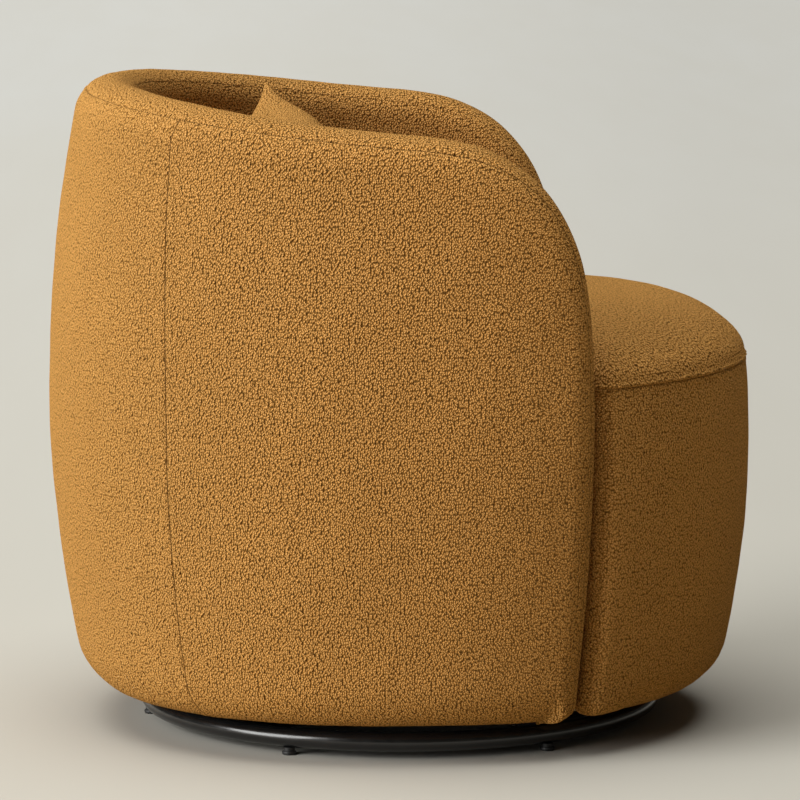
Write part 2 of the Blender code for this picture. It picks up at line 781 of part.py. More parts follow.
def build_drum_front(parent):
    """The fabric band round the front of the seat, its foam and the bent panel behind."""
    outer, inner = band_rows(0.0), band_rows(COVER)
    columns = len(outer[0])
    solid = thickened([p for row in outer for p in row], [p for row in inner for p in row],
                      grid_triangles(len(outer), columns))
    add_object("seat_band_cover", *solid, OCHRE_FABRIC, parent)

    depth = COVER + BAND_FOAM_EASE
    low_inset, low_height = under_turn(BOTTOM_ROUNDING, UNDER_STEPS[0], depth)
    stations = DRUM_STATIONS - 1
    heights = [height for height in BAND_HEIGHTS if height < SEAT_DECK_Z] + [SEAT_DECK_Z - GAP]
    outer = mirrored_path(drum_half_path(low_height, low_inset)[:stations])
    inner = panel_path(low_height, FRONT_PANEL_INSET - GAP, stations)
    for height in heights:
        outer += mirrored_path(band_facet_path(height, depth)[:stations])
        inner += panel_path(height, FRONT_PANEL_INSET - GAP, stations)
    rows = len(heights) + 1
    solid = thickened(outer, inner, grid_triangles(rows, 2 * stations - 1))
    add_object("seat_band_foam", *solid, PALE_FOAM, parent)

    outer, inner = [], []
    for height in (BOARD_TOP_Z + GAP, RAIL_TOP_Z):
        outer += panel_path(height, FRONT_PANEL_INSET, stations)
        inner += panel_path(height, FRONT_PANEL_INSET + PANEL_THICKNESS, stations)
    solid = thickened(outer, inner, grid_triangles(2, 2 * stations - 1))
    add_object("seat_front_panel", *solid, BIRCH_PLY, parent)


# The bent front panel follows the drum's plan at the height of the board
PANEL_SIZE = drum_size(BOARD_TOP_Z)


def panel_reach():
    """The angle at which the bent front panel meets the side rails' outer faces."""
    def spacing(angle):
        at = oval(angle, *PANEL_SIZE) - oval_normal(angle, *PANEL_SIZE) * FRONT_PANEL_INSET
        return RAIL_HALF_SPAN - at.x
    return solve(spacing, math.pi / 2, math.pi)


PANEL_END_ANGLE = panel_reach()


def panel_path(height, inset, stations):
    half = []
    for i in range(stations):
        angle = math.pi + (PANEL_END_ANGLE - math.pi) * i / (stations - 1)
        at = oval(angle, *PANEL_SIZE) - oval_normal(angle, *PANEL_SIZE) * inset
        at.z = height
        half.append(at)
    return mirrored_path(half)


def build_seat_frame(parent):
    """Base board, dust cover, rails and webbing of the box under the seat."""
    build_base_board(parent)
    low, high = BOARD_TOP_Z + GAP, RAIL_TOP_Z
    front = panel_path(low, FRONT_PANEL_INSET + PANEL_THICKNESS, DRUM_STATIONS - 1)[-1].y + GAP
    for side, name in ((-1.0, "left"), (1.0, "right")):
        edges = sorted((side * RAIL_HALF_SPAN, side * (RAIL_HALF_SPAN - RAIL_THICKNESS)))
        rail = box((edges[0], front, low), (edges[1], RAIL_BACK_Y, high))
        add_object(f"seat_side_rail_{name}", *rail, BIRCH_PLY, parent)
    inside = RAIL_HALF_SPAN - RAIL_THICKNESS - GAP
    rear = box((-inside, RAIL_BACK_Y - RAIL_THICKNESS, low), (inside, RAIL_BACK_Y, high))
    add_object("seat_rear_rail", *rear, BIRCH_PLY, parent)
    strap_low = RAIL_TOP_Z + GAP
    span = RAIL_BACK_Y - RAIL_THICKNESS - front - WEBBING_WIDTH
    for i in range(WEBBING_COUNT):
        middle = front + WEBBING_WIDTH / 2 + span * (i + 0.5) / WEBBING_COUNT
        strap = box((-RAIL_HALF_SPAN, middle - WEBBING_WIDTH / 2, strap_low),
                    (RAIL_HALF_SPAN, middle + WEBBING_WIDTH / 2, strap_low + WEBBING_THICKNESS))
        add_object(f"seat_webbing_{i + 1}", *strap, JUTE_WEB, parent)


def board_path(height, inset):
    """The base board's outline: the shell's plan behind and the drum's plan in front."""
    half = []
    for i in range(BOARD_STEPS):
        angle = math.pi / 2 * i / BOARD_STEPS
        half.append(shell_point(angle, height, inset))
    shell_side = shell_point(math.pi / 2, height, inset).x
    drum_side = drum_point(math.pi / 2, height, inset).x
    for i in range(BOARD_STEPS + 1):
        angle = math.pi / 2 + math.pi / 2 * i / BOARD_STEPS
        at = drum_point(angle, height, inset)
        share = i / BOARD_STEPS
        at.x *= (shell_side * (1.0 - share) + drum_side * share) / drum_side
        half.append(at)
    left = [Vector((-point.x, point.y, point.z)) for point in half[-2:0:-1]]
    return half + left


def ring_solid(outer_rows, inner_rows):
    """A closed ring from matching rows that run up its outside and its inside."""
    columns = len(outer_rows[0])
    rows = outer_rows + inner_rows[::-1]
    rows.append(rows[0])
    points = [point for row in rows[:-1] for point in row]
    faces = []
    count = len(rows) - 1
    for row in range(count):
        for column in range(columns):
            a = row * columns + column
            b = row * columns + (column + 1) % columns
            up = (row + 1) % count
            faces.append([a, b, up * columns + (column + 1) % columns, up * columns + column])
    return points, faces


def hole_row(outline, radius, height):
    """Points on a circle, each in the direction of its partner on the outline."""
    row = []
    for point in outline:
        turn = math.atan2(point.y, point.x)
        row.append(Vector((radius * math.cos(turn), radius * math.sin(turn), height)))
    return row


def build_base_board(parent):
    bottom = board_path(BOARD_Z, BOARD_CHAMFER_INSET)
    middle = board_path(BOARD_Z + BOARD_CHAMFER_HEIGHT, BOARD_EDGE_INSET)
    top = board_path(BOARD_TOP_Z, BOARD_EDGE_INSET)
    hole = [hole_row(bottom, BOARD_HOLE_RADIUS, BOARD_Z),
            hole_row(top, BOARD_HOLE_RADIUS, BOARD_TOP_Z)]
    board = add_object("base_board", *ring_solid([bottom, middle, top], hole), BIRCH_PLY, parent)
    pilot = prism(circle(SCREW_RADIUS + GAP, HOLE_SIDES), DUST_COVER_Z - SCREW_LENGTH,
                  BOARD_Z + SCREW_LENGTH)
    pilots = [moved(pilot, spot) for spot in bolt_spots()]
    notch = prism(circle(ARM_NOTCH_RADIUS, ROUND_SIDES), BOARD_Z - BOARD_THICKNESS,
                  BOARD_TOP_Z + BOARD_THICKNESS)
    notches = []
    for angle in (ARM_FRONT_ANGLE, -ARM_FRONT_ANGLE):
        arm = shell_point(angle, BOARD_TOP_Z, RIM_RADIUS)
        notches.append(moved(notch, (arm.x, arm.y, 0.0)))
    cut(board, add_cutter("board_holes", *joined(*pilots, *notches), parent))

    low, high = DUST_COVER_Z, DUST_COVER_Z + DUST_COVER_THICKNESS
    rim = [board_path(low, DUST_COVER_INSET), board_path(high, DUST_COVER_INSET)]
    hole = [hole_row(rim[0], BOARD_HOLE_RADIUS, low), hole_row(rim[1], BOARD_HOLE_RADIUS, high)]
    cloth = add_object("dust_cover", *ring_solid(rim, hole), BLACK_CLOTH, parent)
    cut(cloth, add_cutter("dust_cover_holes", *joined(*pilots), parent))


# Seat cushion

SHOULDER_STEPS = (0.0, 30.0, 60.0, 84.0)
CROWN_SHARES = (0.25, 0.6)


def lining_point(column, height, depth):
    """A point on the flat facets of the tub's lining, at a column of the shell."""
    for row in range(LOWER_ROWS, WALL_ROWS):
        low, high = column_height(column, row), column_height(column, row + 1)
        if height <= high:
            break
    below = inner_point(ANGLES[column], low, depth)
    above = inner_point(ANGLES[column], high, depth)
    return below.lerp(above, (height - low) / (high - low))


def seat_half_path(height, inset):
    """Right half of the seat's outline: drum front, groove, round the arm and up the tub."""
    path = band_facet_path(height, inset)
    _, centre, arm = drum_corner(height)
    start = bearing(centre - arm)
    inward = bearing(-shell_normal(ARM_FRONT_ANGLE))
    if inward < 0.0:
        inward += 2 * math.pi
    if start < 0.0:
        start += 2 * math.pi
    step = (inward - start) / HUG_STATIONS
    clear_radius = (RIM_RADIUS + CREVICE) / math.cos(step / 2)
    for i in range(1, HUG_STATIONS + 1):
        turn = start + step * i
        direction = Vector((math.sin(turn), math.cos(turn), 0.0))
        path.append(arm + direction * (clear_radius + inset))
    for column in range(LAST - 2, LAST // 2 - 1, -1):
        path.append(lining_point(column, height, -(CREVICE + inset)))
    return path


def seat_loop(height, inset):
    half = seat_half_path(height, inset)
    left = [Vector((-point.x, point.y, point.z)) for point in half[-2:0:-1]]
    return half + left


def shoulder_profile(depth):
    """Insets and heights of the domed top, at a depth under its surface."""
    profile = []
    for step in SHOULDER_STEPS:
        turn = math.radians(step)
        drop = SEAT_SHOULDER - depth
        profile.append((SEAT_SHOULDER - drop * math.cos(turn),
                        drop * math.sin(turn) * SEAT_SHOULDER_STEEPNESS))
    base = profile[-1][1]
    rest = SEAT_CROWN - depth - base
    reach = abs(HALF_DEPTH_FRONT + SEAT_CENTRE_Y)
    for share in CROWN_SHARES:
        inset = SEAT_SHOULDER + (reach - SEAT_SHOULDER) * share
        profile.append((inset, base + rest * (1.0 - (1.0 - share) ** SEAT_CROWN_FULLNESS)))
    return profile


def dome_rows(depth):
    centre = Vector((0.0, SEAT_CENTRE_Y, 0.0))
    edge = seat_loop(SEAT_SEAM_HEIGHT, 0.0)
    reach = abs(HALF_DEPTH_FRONT + SEAT_CENTRE_Y)
    rows = []
    for inset, rise in shoulder_profile(depth):
        scale = 1.0 - inset / reach
        row = [centre + (Vector((p.x, p.y, 0.0)) - centre) * scale for p in edge]
        for point in row:
            point.z = SEAT_SEAM_HEIGHT + SEAM_GAP / 2 + rise
        rows.append(row)
    return rows


def capped_rows(rows, top):
    """Rows of a closed outline, stacked and closed by one point at the top."""
    columns = len(rows[0])
    points = [point for row in rows for point in row] + [top]
    triangles = grid_triangles(len(rows), columns, closed=True)
    last = (len(rows) - 1) * columns
    for column in range(columns):
        triangles.append([last + column, last + (column + 1) % columns, len(points) - 1])
    return points, triangles


def crown_point(depth):
    return Vector((0.0, SEAT_CENTRE_Y, SEAT_SEAM_HEIGHT + SEAM_GAP / 2 + SEAT_CROWN - depth))


def build_seat(parent):
    """Seat foam and the domed fabric top sewn to the front band."""
    outer, triangles = capped_rows(dome_rows(0.0), crown_point(0.0))
    inner, _ = capped_rows(dome_rows(COVER), crown_point(COVER))
    add_object("seat_top_cover", *thickened(outer, inner, triangles), OCHRE_FABRIC, parent)

    depth = COVER + GAP
    low = SEAT_DECK_Z + GAP
    middle = (low + SEAT_SEAM_HEIGHT) / 2
    sides = [seat_loop(height, depth + SEAT_TUCK)
             for height in (low, middle, SEAT_SEAM_HEIGHT - SEAT_FOAM_SHOULDER)]
    points, faces = capped_rows(sides + dome_rows(depth + SEAT_TUCK)[1:], crown_point(depth))
    faces.append(list(range(len(sides[0])))[::-1])
    add_object("seat_foam", points, faces, PALE_FOAM, parent)


def seat_surface(x, y):
    """Height of the seat's top at a point in plan."""
    centre = Vector((0.0, SEAT_CENTRE_Y, 0.0))
    edge = seat_loop(SEAT_SEAM_HEIGHT, 0.0)
    spoke = Vector((x, y, 0.0)) - centre
    best = 0.0
    for a, b in zip(edge, edge[1:] + edge[:1]):
        ax, ay, bx, by = a.x, a.y - centre.y, b.x, b.y - centre.y
        cross = ax * by - ay * bx
        if cross == 0.0:
            continue
        first = (spoke.x * by - spoke.y * bx) / cross
        second = (ax * spoke.y - ay * spoke.x) / cross
        if first >= 0.0 and second >= 0.0:
            best = max(best, first + second)
    profile = shoulder_profile(0.0)
    reach = abs(HALF_DEPTH_FRONT + SEAT_CENTRE_Y)
    profile.append((reach, SEAT_CROWN))
    inset = (1.0 - min(best, 1.0)) * reach
    for (inset_a, rise_a), (inset_b, rise_b) in zip(profile, profile[1:]):
        if inset <= inset_b:
            share = (inset - inset_a) / (inset_b - inset_a)
            return SEAT_SEAM_HEIGHT + SEAM_GAP / 2 + rise_a + (rise_b - rise_a) * share
    return SEAT_SEAM_HEIGHT + SEAM_GAP / 2 + SEAT_CROWN


def tub_wall_y(x, height):
    """The y of the tub's inside wall at a distance from the centre line."""
    def spacing(angle):
        return inner_point(angle, height, 0.0).x - abs(x)
    angle = solve(spacing, 0.0, math.pi / 2)
    return inner_point(angle, height, 0.0).y


# Loose pillow

def pillow_sheet(side):
    """One face of the pillow, upright, in its own frame with its centre at the origin."""
    points = []
    for row in range(PILLOW_ROWS + 1):
        v = -math.cos(math.pi * row / PILLOW_ROWS)
        for column in range(PILLOW_COLUMNS + 1):
            u = -math.cos(math.pi * column / PILLOW_COLUMNS)
            x = u * (PILLOW_WIDTH / 2 - PILLOW_DRAW_IN * (1.0 - v * v) * u * u)
            z = v * (PILLOW_HEIGHT / 2 - PILLOW_DRAW_IN * (1.0 - u * u) * v * v)
            fullness = ((1.0 - u * u) * (1.0 - v * v)) ** PILLOW_FULLNESS
            y = side * (PILLOW_EDGE + (PILLOW_THICKNESS / 2 - PILLOW_EDGE) * fullness)
            points.append(Vector((x, y, z)))
    return points


def build_pillow(parent):
    """The pillow stands on the seat and leans back until it meets the tub's wall."""
    tilt = Matrix.Rotation(math.radians(-PILLOW_TILT), 3, "X")
    front = [tilt @ point for point in pillow_sheet(-1.0)]
    back = [tilt @ point for point in pillow_sheet(1.0)]
    everything = front + back
    y, z = 0.0, SEAT_SEAM_HEIGHT + SEAT_CROWN + PILLOW_HEIGHT / 2
    for _ in range(SETTLING_ROUNDS):
        y = min(tub_wall_y(p.x, p.z + z) - GAP - p.y for p in back)
        z = max(seat_surface(p.x, p.y + y) + CREVICE - p.z for p in everything)
    offset = Vector((0.0, y, z))
    columns = PILLOW_COLUMNS + 1
    triangles = grid_triangles(PILLOW_ROWS + 1, columns)
    solid = thickened([p + offset for p in front], [p + offset for p in back], triangles)
    return add_object("pillow", *solid, OCHRE_FABRIC, parent, origin=offset)


# Base and swivel bearing

def bolt_spots():
    corners = ((1, 1), (-1, 1), (-1, -1), (1, -1))
    return [(x * BOLT_SPACING, y * BOLT_SPACING, 0.0) for x, y in corners]


def tube_ring(radius, tube, height, sides, tube_sides):
    profile = [(radius + tube * math.cos(a), height + tube * math.sin(a))
               for a in (2 * math.pi * i / tube_sides for i in range(tube_sides))]
    return lathed(profile, sides)


def rounded_square(side, corner):
    half = side / 2 - corner
    outline = []
    for quarter in range(4):
        turn = math.pi / 2 * quarter
        cx = half * (1 if quarter in (0, 3) else -1)
        cy = half * (1 if quarter in (0, 1) else -1)
        for i in range(CORNER_SEGMENTS + 1):
            a = turn + math.pi / 2 * i / CORNER_SEGMENTS
            outline.append((cx + corner * math.cos(a), cy + corner * math.sin(a)))
    return outline


def build_plate(name, height, hole_radius, centre_radius, parent):
    plate = prism(rounded_square(PLATE_SIDE, PLATE_CORNER), height, height + PLATE_THICKNESS)
    made = add_object(name, *plate, ZINC_STEEL, parent)
    low, high = height - PLATE_THICKNESS, height + 2 * PLATE_THICKNESS
    holes = [prism(circle(centre_radius, ROUND_SIDES), low, high)]
    holes += [moved(prism(circle(hole_radius, HOLE_SIDES), low, high), spot) for spot in bolt_spots()]
    cut(made, add_cutter(name + "_holes", *joined(*holes), parent))


def race_profile(low, groove_up):
    """A bearing race: a flat ring with a round groove in its upper or lower face."""
    inner, outer = RACE_RADIUS - RACE_WIDTH / 2, RACE_RADIUS + RACE_WIDTH / 2
    groove = (BALL_RADIUS + GAP) / math.cos(math.radians(60.0) / GROOVE_SEGMENTS)
    face = low + RACE_HEIGHT if groove_up else low
    away = BALL_Z - face
    half = math.sqrt(groove * groove - away * away)
    start = math.acos(half / groove)
    sweep = math.pi - 2 * start
    direction = -1.0 if groove_up else 1.0
    turned = []
    for i in range(GROOVE_SEGMENTS + 1):
        a = start + sweep * i / GROOVE_SEGMENTS
        turned.append((RACE_RADIUS + groove * math.cos(a),
                       BALL_Z + direction * groove * math.sin(a)))
    if groove_up:
        return [(inner, low), (outer, low), (outer, face)] + turned + [(inner, face)]
    top = low + RACE_HEIGHT
    return [(outer, top), (inner, top), (inner, face)] + turned[::-1] + [(outer, face)]


def headed_fastener(spot, under_head, length, head_radius, head_height, radius, sides, points_down):
    """A bolt or screw; its shank leaves the head downwards or upwards."""
    sign = -1.0 if points_down else 1.0
    head = circle(head_radius, sides)
    shank = circle(radius, sides)
    rings = [(shank, under_head + sign * length), (shank, under_head), (head, under_head),
             (head, under_head - sign * head_height)]
    points = [Vector((x + spot[0], y + spot[1], height))
              for outline, height in rings for x, y in outline]
    faces = [list(range(sides)), list(range(3 * sides, 4 * sides))]
    for ring in range(3):
        for i in range(sides):
            j = (i + 1) % sides
            above = (ring + 1) * sides
            faces.append([ring * sides + i, ring * sides + j, above + j, above + i])
    return points, faces


def ball(centre, radius):
    """A small faceted sphere: four rings between two poles."""
    profile = [(radius * math.cos(a), centre.z + radius * math.sin(a))
               for a in (math.pi * (i / 4 - 0.5) for i in range(5))]
    profile = [(0.0, profile[0][1])] + profile[1:-1] + [(0.0, profile[-1][1])]
    points, faces = lathed(profile, BALL_SIDES)
    faces = [face for face in faces if len(set(face)) > 2]
    return [point + Vector((centre.x, centre.y, 0.0)) for point in points], faces


def build_base(parent):
    """Ring, spokes, glides and the fixed half of the swivel bearing."""
    ring = tube_ring(RING_RADIUS, RING_TUBE_RADIUS, RING_Z, RING_SIDES, TUBE_SIDES)
    add_object("base_ring", *ring, BLACK_STEEL, parent, sharp=50.0)
    low, high = RING_Z - SPOKE_HEIGHT / 2, SPOKE_TOP_Z
    inside = RING_RADIUS - RING_TUBE_RADIUS - GAP
    reach = math.sqrt(inside * inside - (SPOKE_WIDTH / 2) ** 2) - GAP
    hole = moved(prism(circle(BOLT_RADIUS + GAP, HOLE_SIDES), low - SPOKE_HEIGHT, high + SPOKE_HEIGHT),
                 (BOLT_SPACING * math.sqrt(2.0), 0.0, 0.0))
    for i in range(SPOKE_COUNT):
        turn = math.radians(45.0 + 360.0 * i / SPOKE_COUNT)
        bar = box((SPOKE_INNER_RADIUS, -SPOKE_WIDTH / 2, low), (reach, SPOKE_WIDTH / 2, high))
        spoke = add_object(f"base_spoke_{i + 1}", *bar, BLACK_STEEL, parent)
        spoke.rotation_euler.z = turn
        drill = add_cutter(f"base_spoke_{i + 1}_hole", *hole, parent)
        drill.rotation_euler.z = turn
        cut(spoke, drill)
    for i in range(GLIDE_COUNT):
        turn = math.radians(180.0 - GLIDE_TURN - 360.0 * i / GLIDE_COUNT)
        centre = (RING_RADIUS * math.cos(turn), RING_RADIUS * math.sin(turn), 0.0)
        glide = lathed([(0.0, 0.0), (GLIDE_RADIUS - GLIDE_CHAMFER, 0.0), (GLIDE_RADIUS, GLIDE_CHAMFER),
                        (GLIDE_RADIUS, GLIDE_HEIGHT), (0.0, GLIDE_HEIGHT)], HOLE_SIDES)
        add_object(f"glide_{i + 1}", *moved(glide, centre), BLACK_NYLON, parent)

    build_plate("swivel_lower_plate", LOWER_PLATE_Z, BOLT_RADIUS + GAP, PIVOT_RADIUS + GAP, parent)
    race = lathed(race_profile(LOWER_RACE_Z, True), RACE_SIDES)
    add_object("swivel_lower_race", *race, ZINC_STEEL, parent)
    for i, spot in enumerate(bolt_spots()):
        bolt = headed_fastener(spot, LOWER_PLATE_Z + PLATE_THICKNESS + GAP, BOLT_LENGTH,
                               BOLT_HEAD_RADIUS, BOLT_HEAD_HEIGHT, BOLT_RADIUS, HEX_SIDES, True)
        add_object(f"plate_bolt_{i + 1}", *bolt, ZINC_STEEL, parent)
    foot = LOWER_PLATE_Z - GAP
    head = UPPER_PLATE_Z + PLATE_THICKNESS + GAP
    pivot = lathed([(0.0, foot - PIVOT_HEAD_HEIGHT), (PIVOT_HEAD_RADIUS, foot - PIVOT_HEAD_HEIGHT),
                    (PIVOT_HEAD_RADIUS, foot), (PIVOT_RADIUS, foot), (PIVOT_RADIUS, head),
                    (PIVOT_HEAD_RADIUS, head), (PIVOT_HEAD_RADIUS, head + PIVOT_HEAD_HEIGHT),
                    (0.0, head + PIVOT_HEAD_HEIGHT)], ROUND_SIDES)
    add_object("swivel_pivot", *pivot, ZINC_STEEL, parent)


def build_cage(parent):
    """The ball cage between the races, its balls fixed in it."""
    inner, outer = RACE_RADIUS - RACE_WIDTH / 2, RACE_RADIUS + RACE_WIDTH / 2
    low, high = BALL_Z - CAGE_THICKNESS / 2, BALL_Z + CAGE_THICKNESS / 2
    ring = lathed([(inner, low), (outer, low), (outer, high), (inner, high)], RACE_SIDES)
    cage = add_object("ball_cage", *ring, ZINC_STEEL, parent)
    balls = []
    for i in range(BALL_COUNT):
        turn = 2 * math.pi * i / BALL_COUNT
        centre = Vector((RACE_RADIUS * math.cos(turn), RACE_RADIUS * math.sin(turn), BALL_Z))
        balls.append(ball(centre, BALL_RADIUS))
    union = cage.modifiers.new("balls", "BOOLEAN")
    union.operation = "UNION"
    union.object = add_cutter("ball_cage_balls", *joined(*balls), parent)


def build_turning_plate(parent):
    """The half of the bearing that turns with the seat."""
    build_plate("swivel_upper_plate", UPPER_PLATE_Z, SCREW_RADIUS + GAP,
                PIVOT_RADIUS + RUNNING_CLEARANCE, parent)
    race = lathed(race_profile(UPPER_RACE_Z, False), RACE_SIDES)
    add_object("swivel_upper_race", *race, ZINC_STEEL, parent)
    for i, spot in enumerate(bolt_spots()):
        screw = headed_fastener(spot, UPPER_PLATE_Z - GAP, SCREW_LENGTH, SCREW_HEAD_RADIUS,
                                SCREW_HEAD_HEIGHT, SCREW_RADIUS, SCREW_SIDES, False)
        add_object(f"plate_screw_{i + 1}", *screw, ZINC_STEEL, parent)


def main():
    clear_scene()
    base = add_axis("base_axis", (0.0, 0.0, 0.0))
    cage = add_axis("cage_spin_axis", (0.0, 0.0, 0.0))
    chair = add_axis("swivel_axis", (0.0, 0.0, 0.0))
    build_base(base)
    build_cage(cage)
    build_turning_plate(chair)
    build_seat_frame(chair)
    build_drum_front(chair)
    build_seat(chair)
    build_shell(chair)
    build_pillow(chair)


main()
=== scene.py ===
import math

import bmesh
import bpy
import numpy as np
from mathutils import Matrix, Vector


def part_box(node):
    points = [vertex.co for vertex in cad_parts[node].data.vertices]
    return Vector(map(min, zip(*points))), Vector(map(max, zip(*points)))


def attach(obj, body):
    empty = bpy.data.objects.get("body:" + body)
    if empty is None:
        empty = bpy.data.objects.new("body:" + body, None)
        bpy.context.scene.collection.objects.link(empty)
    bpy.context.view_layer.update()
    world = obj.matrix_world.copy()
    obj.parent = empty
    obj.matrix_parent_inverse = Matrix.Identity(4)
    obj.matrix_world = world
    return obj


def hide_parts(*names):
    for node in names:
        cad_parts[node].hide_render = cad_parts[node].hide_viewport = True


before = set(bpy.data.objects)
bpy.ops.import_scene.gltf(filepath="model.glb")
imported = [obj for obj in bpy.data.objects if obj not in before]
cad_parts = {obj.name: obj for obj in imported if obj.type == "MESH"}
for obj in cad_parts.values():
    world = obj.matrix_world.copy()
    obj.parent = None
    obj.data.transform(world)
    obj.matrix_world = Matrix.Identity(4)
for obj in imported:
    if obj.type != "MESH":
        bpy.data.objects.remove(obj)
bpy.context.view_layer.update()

RANDOM = np.random.RandomState(11)

# Barrel shell, as the model's source has it
HALF_WIDTH = 0.392
HALF_DEPTH_BACK = 0.4056
SHELL_SQUARENESS = 2.25
BACK_HEIGHT = 0.743
RIM_DROP_TO_ARMS = 0.041
BELLY_HEIGHT = 0.385
LOWER_DRAW_IN = 0.031
UPPER_DRAW_IN = 0.031
BOTTOM_ROUNDING = 0.050
SHELL_WALL = 0.075
RIM_RADIUS = SHELL_WALL / 2
ARM_FRONT_Y = -0.204
ARM_EDGE_STRAIGHT_HEIGHT = 0.400
ARM_CORNER_LENGTH = 0.228
ARM_CORNER_FULLNESS = 3.7
ARM_CORNER_REACH = 0.10
ARM_TOE_ROUNDING = 0.023
ARM_TOE_LIFT = 0.004
DRUM_TOE_LIFT = 0.0055
BACK_PADDING = 0.138
PADDING_RISE = 0.150
BAND_TURN = math.radians(50.0)
REAR_SEAM = math.radians(51.3)
REAR_SEAM_LEAN = math.radians(3.3)
FABRIC_BOTTOM = 0.0401
WALL_FOOT = FABRIC_BOTTOM + BOTTOM_ROUNDING
TURN_UNDER = 0.015
DUST_HOLE = 0.032
DUST_CLOTH_THICKNESS = 0.0006

# Seat drum
HALF_DEPTH_FRONT = 0.4049
DRUM_BELLY_HEIGHT = 0.335
DRUM_LOWER_DRAW_IN = 0.024
DRUM_UPPER_DRAW_IN = 0.0055
DRUM_FILLET = 0.022
DRUM_TOE_ROUNDING = 0.0195
GROOVE_TURN_UNDER = 0.001
CREVICE = 0.0008
SEAT_SEAM_HEIGHT = 0.420
SEAT_DECK = 0.3303
LINING_FOOT = 0.332
SEAT_CROWN = 0.0815
SEAT_CENTRE_Y = -0.200
SEAT_CROWN_FULLNESS = 2.0
SEAT_SHOULDER_FULLNESS = 2.2

# Seams: half of the gap between two panels, and the steps of the grids
SEAM_HALF_GAP = 0.00005
FAR_FROM_SEAM = 0.05
STEP = 0.0045
SAME_PLACE = 1e-5
WALL_ROWS = int(0.62 / STEP)
LEFT = np.array([-1.0, 1.0, 1.0])


# Curves and surfaces, on arrays

def joined(*parts, axis=0):
    return np.concatenate(parts, axis=axis)


def signed_powers(angle, power):
    """Sine and cosine of an angle, raised to a power with their signs kept."""
    return [np.copysign(np.abs(value) ** power, value) for value in (np.sin(angle), np.cos(angle))]


def oval(angle, half_width, half_depth, squareness):
    across, along = signed_powers(angle, 2.0 / squareness)
    return np.stack([across * half_width, along * half_depth, np.zeros_like(across)], -1)


def oval_normal(angle, half_width, half_depth, squareness):
    across, along = signed_powers(angle, 2.0 - 2.0 / squareness)
    normal = np.stack([across / half_width, along / half_depth, np.zeros_like(across)], -1)
    return normal / np.linalg.norm(normal, axis=-1, keepdims=True)


def drawn_in(height, belly, top, lower, upper):
    """How far a barrel's wall is drawn in above and below its belly."""
    low = (belly - height) / (belly - WALL_FOOT)
    high = (height - belly) / (top - belly)
    return np.where(height < belly, lower * low ** 2, upper * high ** 2)


def shell_scale(height):
    drawn = drawn_in(height, BELLY_HEIGHT, BACK_HEIGHT - RIM_RADIUS, LOWER_DRAW_IN, UPPER_DRAW_IN)
    return 1.0 - drawn / HALF_DEPTH_BACK


def drum_scale(height):
    drawn = drawn_in(height, DRUM_BELLY_HEIGHT, SEAT_SEAM_HEIGHT, DRUM_LOWER_DRAW_IN, DRUM_UPPER_DRAW_IN)
    return 1.0 - drawn / HALF_DEPTH_FRONT


def shell_normal(angle):
    return oval_normal(angle, HALF_WIDTH, HALF_DEPTH_BACK, SHELL_SQUARENESS)


def shell_point(angle, height, depth):
    angle, height, depth = np.broadcast_arrays(*[np.asarray(v, float) for v in (angle, height, depth)])
    at = oval(angle, HALF_WIDTH, HALF_DEPTH_BACK, SHELL_SQUARENESS) * shell_scale(height)[..., None]
    at = at - shell_normal(angle) * depth[..., None]
    at[..., 2] = height
    return at


def forward(angle):
    """The level direction along the wall towards the arm's front."""
    normal = shell_normal(angle)
    side = np.where(np.asarray(angle) >= 0.0, 1.0, -1.0)
    return np.stack([normal[..., 1] * side, -normal[..., 0] * side, np.zeros_like(side)], -1)


def lengths(points):
    """Distances along a line of points from its first one."""
    gaps = np.linalg.norm(np.diff(points, axis=0), axis=1)
    return joined([0.0], np.cumsum(gaps))


def solve(function, low, high):
    """The argument at which a rising function passes zero."""
    for _ in range(50):
        middle = (low + high) / 2
        if function(middle) < 0.0:
            low = middle
        else:
            high = middle
    return (low + high) / 2


def mid_angle_at(y):
    return solve(lambda a: y - shell_point(a, BELLY_HEIGHT, RIM_RADIUS)[1], 0.0, math.pi)


ARM_FRONT = mid_angle_at(ARM_FRONT_Y + RIM_RADIUS)
CORNER_START_Y = ARM_FRONT_Y + ARM_CORNER_LENGTH
ARM_CORNER = mid_angle_at(CORNER_START_Y)


def rim_mid_height(angle):
    angle = np.abs(np.asarray(angle, float))
    top = BACK_HEIGHT - RIM_RADIUS - RIM_DROP_TO_ARMS * (1.0 - np.cos(angle))
    y = shell_point(angle, BELLY_HEIGHT, RIM_RADIUS)[..., 1]
    run = np.clip((CORNER_START_Y - y) / (ARM_CORNER_LENGTH - RIM_RADIUS), 0.0, 1.0)
    rise = (1.0 - run ** ARM_CORNER_FULLNESS) ** (1.0 / ARM_CORNER_FULLNESS)
    return ARM_EDGE_STRAIGHT_HEIGHT + (top - ARM_EDGE_STRAIGHT_HEIGHT) * rise


def under_turn(rounding, turn):
    """Inset and height of the fabric where it turns under the chair, at an angle of the turn."""
    return rounding * (1.0 - np.cos(turn)), FABRIC_BOTTOM + rounding * (1.0 - np.sin(turn))


def smooth(share):
    share = np.clip(share, 0.0, 1.0)
    return share * share * (3.0 - 2.0 * share)


def padding(angle, height):
    reach = (rim_mid_height(angle) - height) / PADDING_RISE
    spread = np.maximum(np.cos(np.asarray(angle) / ARM_FRONT * math.pi / 2), 0.0)
    return BACK_PADDING * spread * smooth(reach)


def rear_seam(height):
    """Plan angle of the vertical seam, which leans towards the back above the belly."""
    share = np.clip((np.asarray(height, float) - BELLY_HEIGHT) / (BACK_HEIGHT - BELLY_HEIGHT), 0.0, 1.0)
    return REAR_SEAM - REAR_SEAM_LEAN * share ** 1.4


def inner_point(angle, height, depth):
    return shell_point(angle, height, SHELL_WALL + padding(angle, height) - depth)


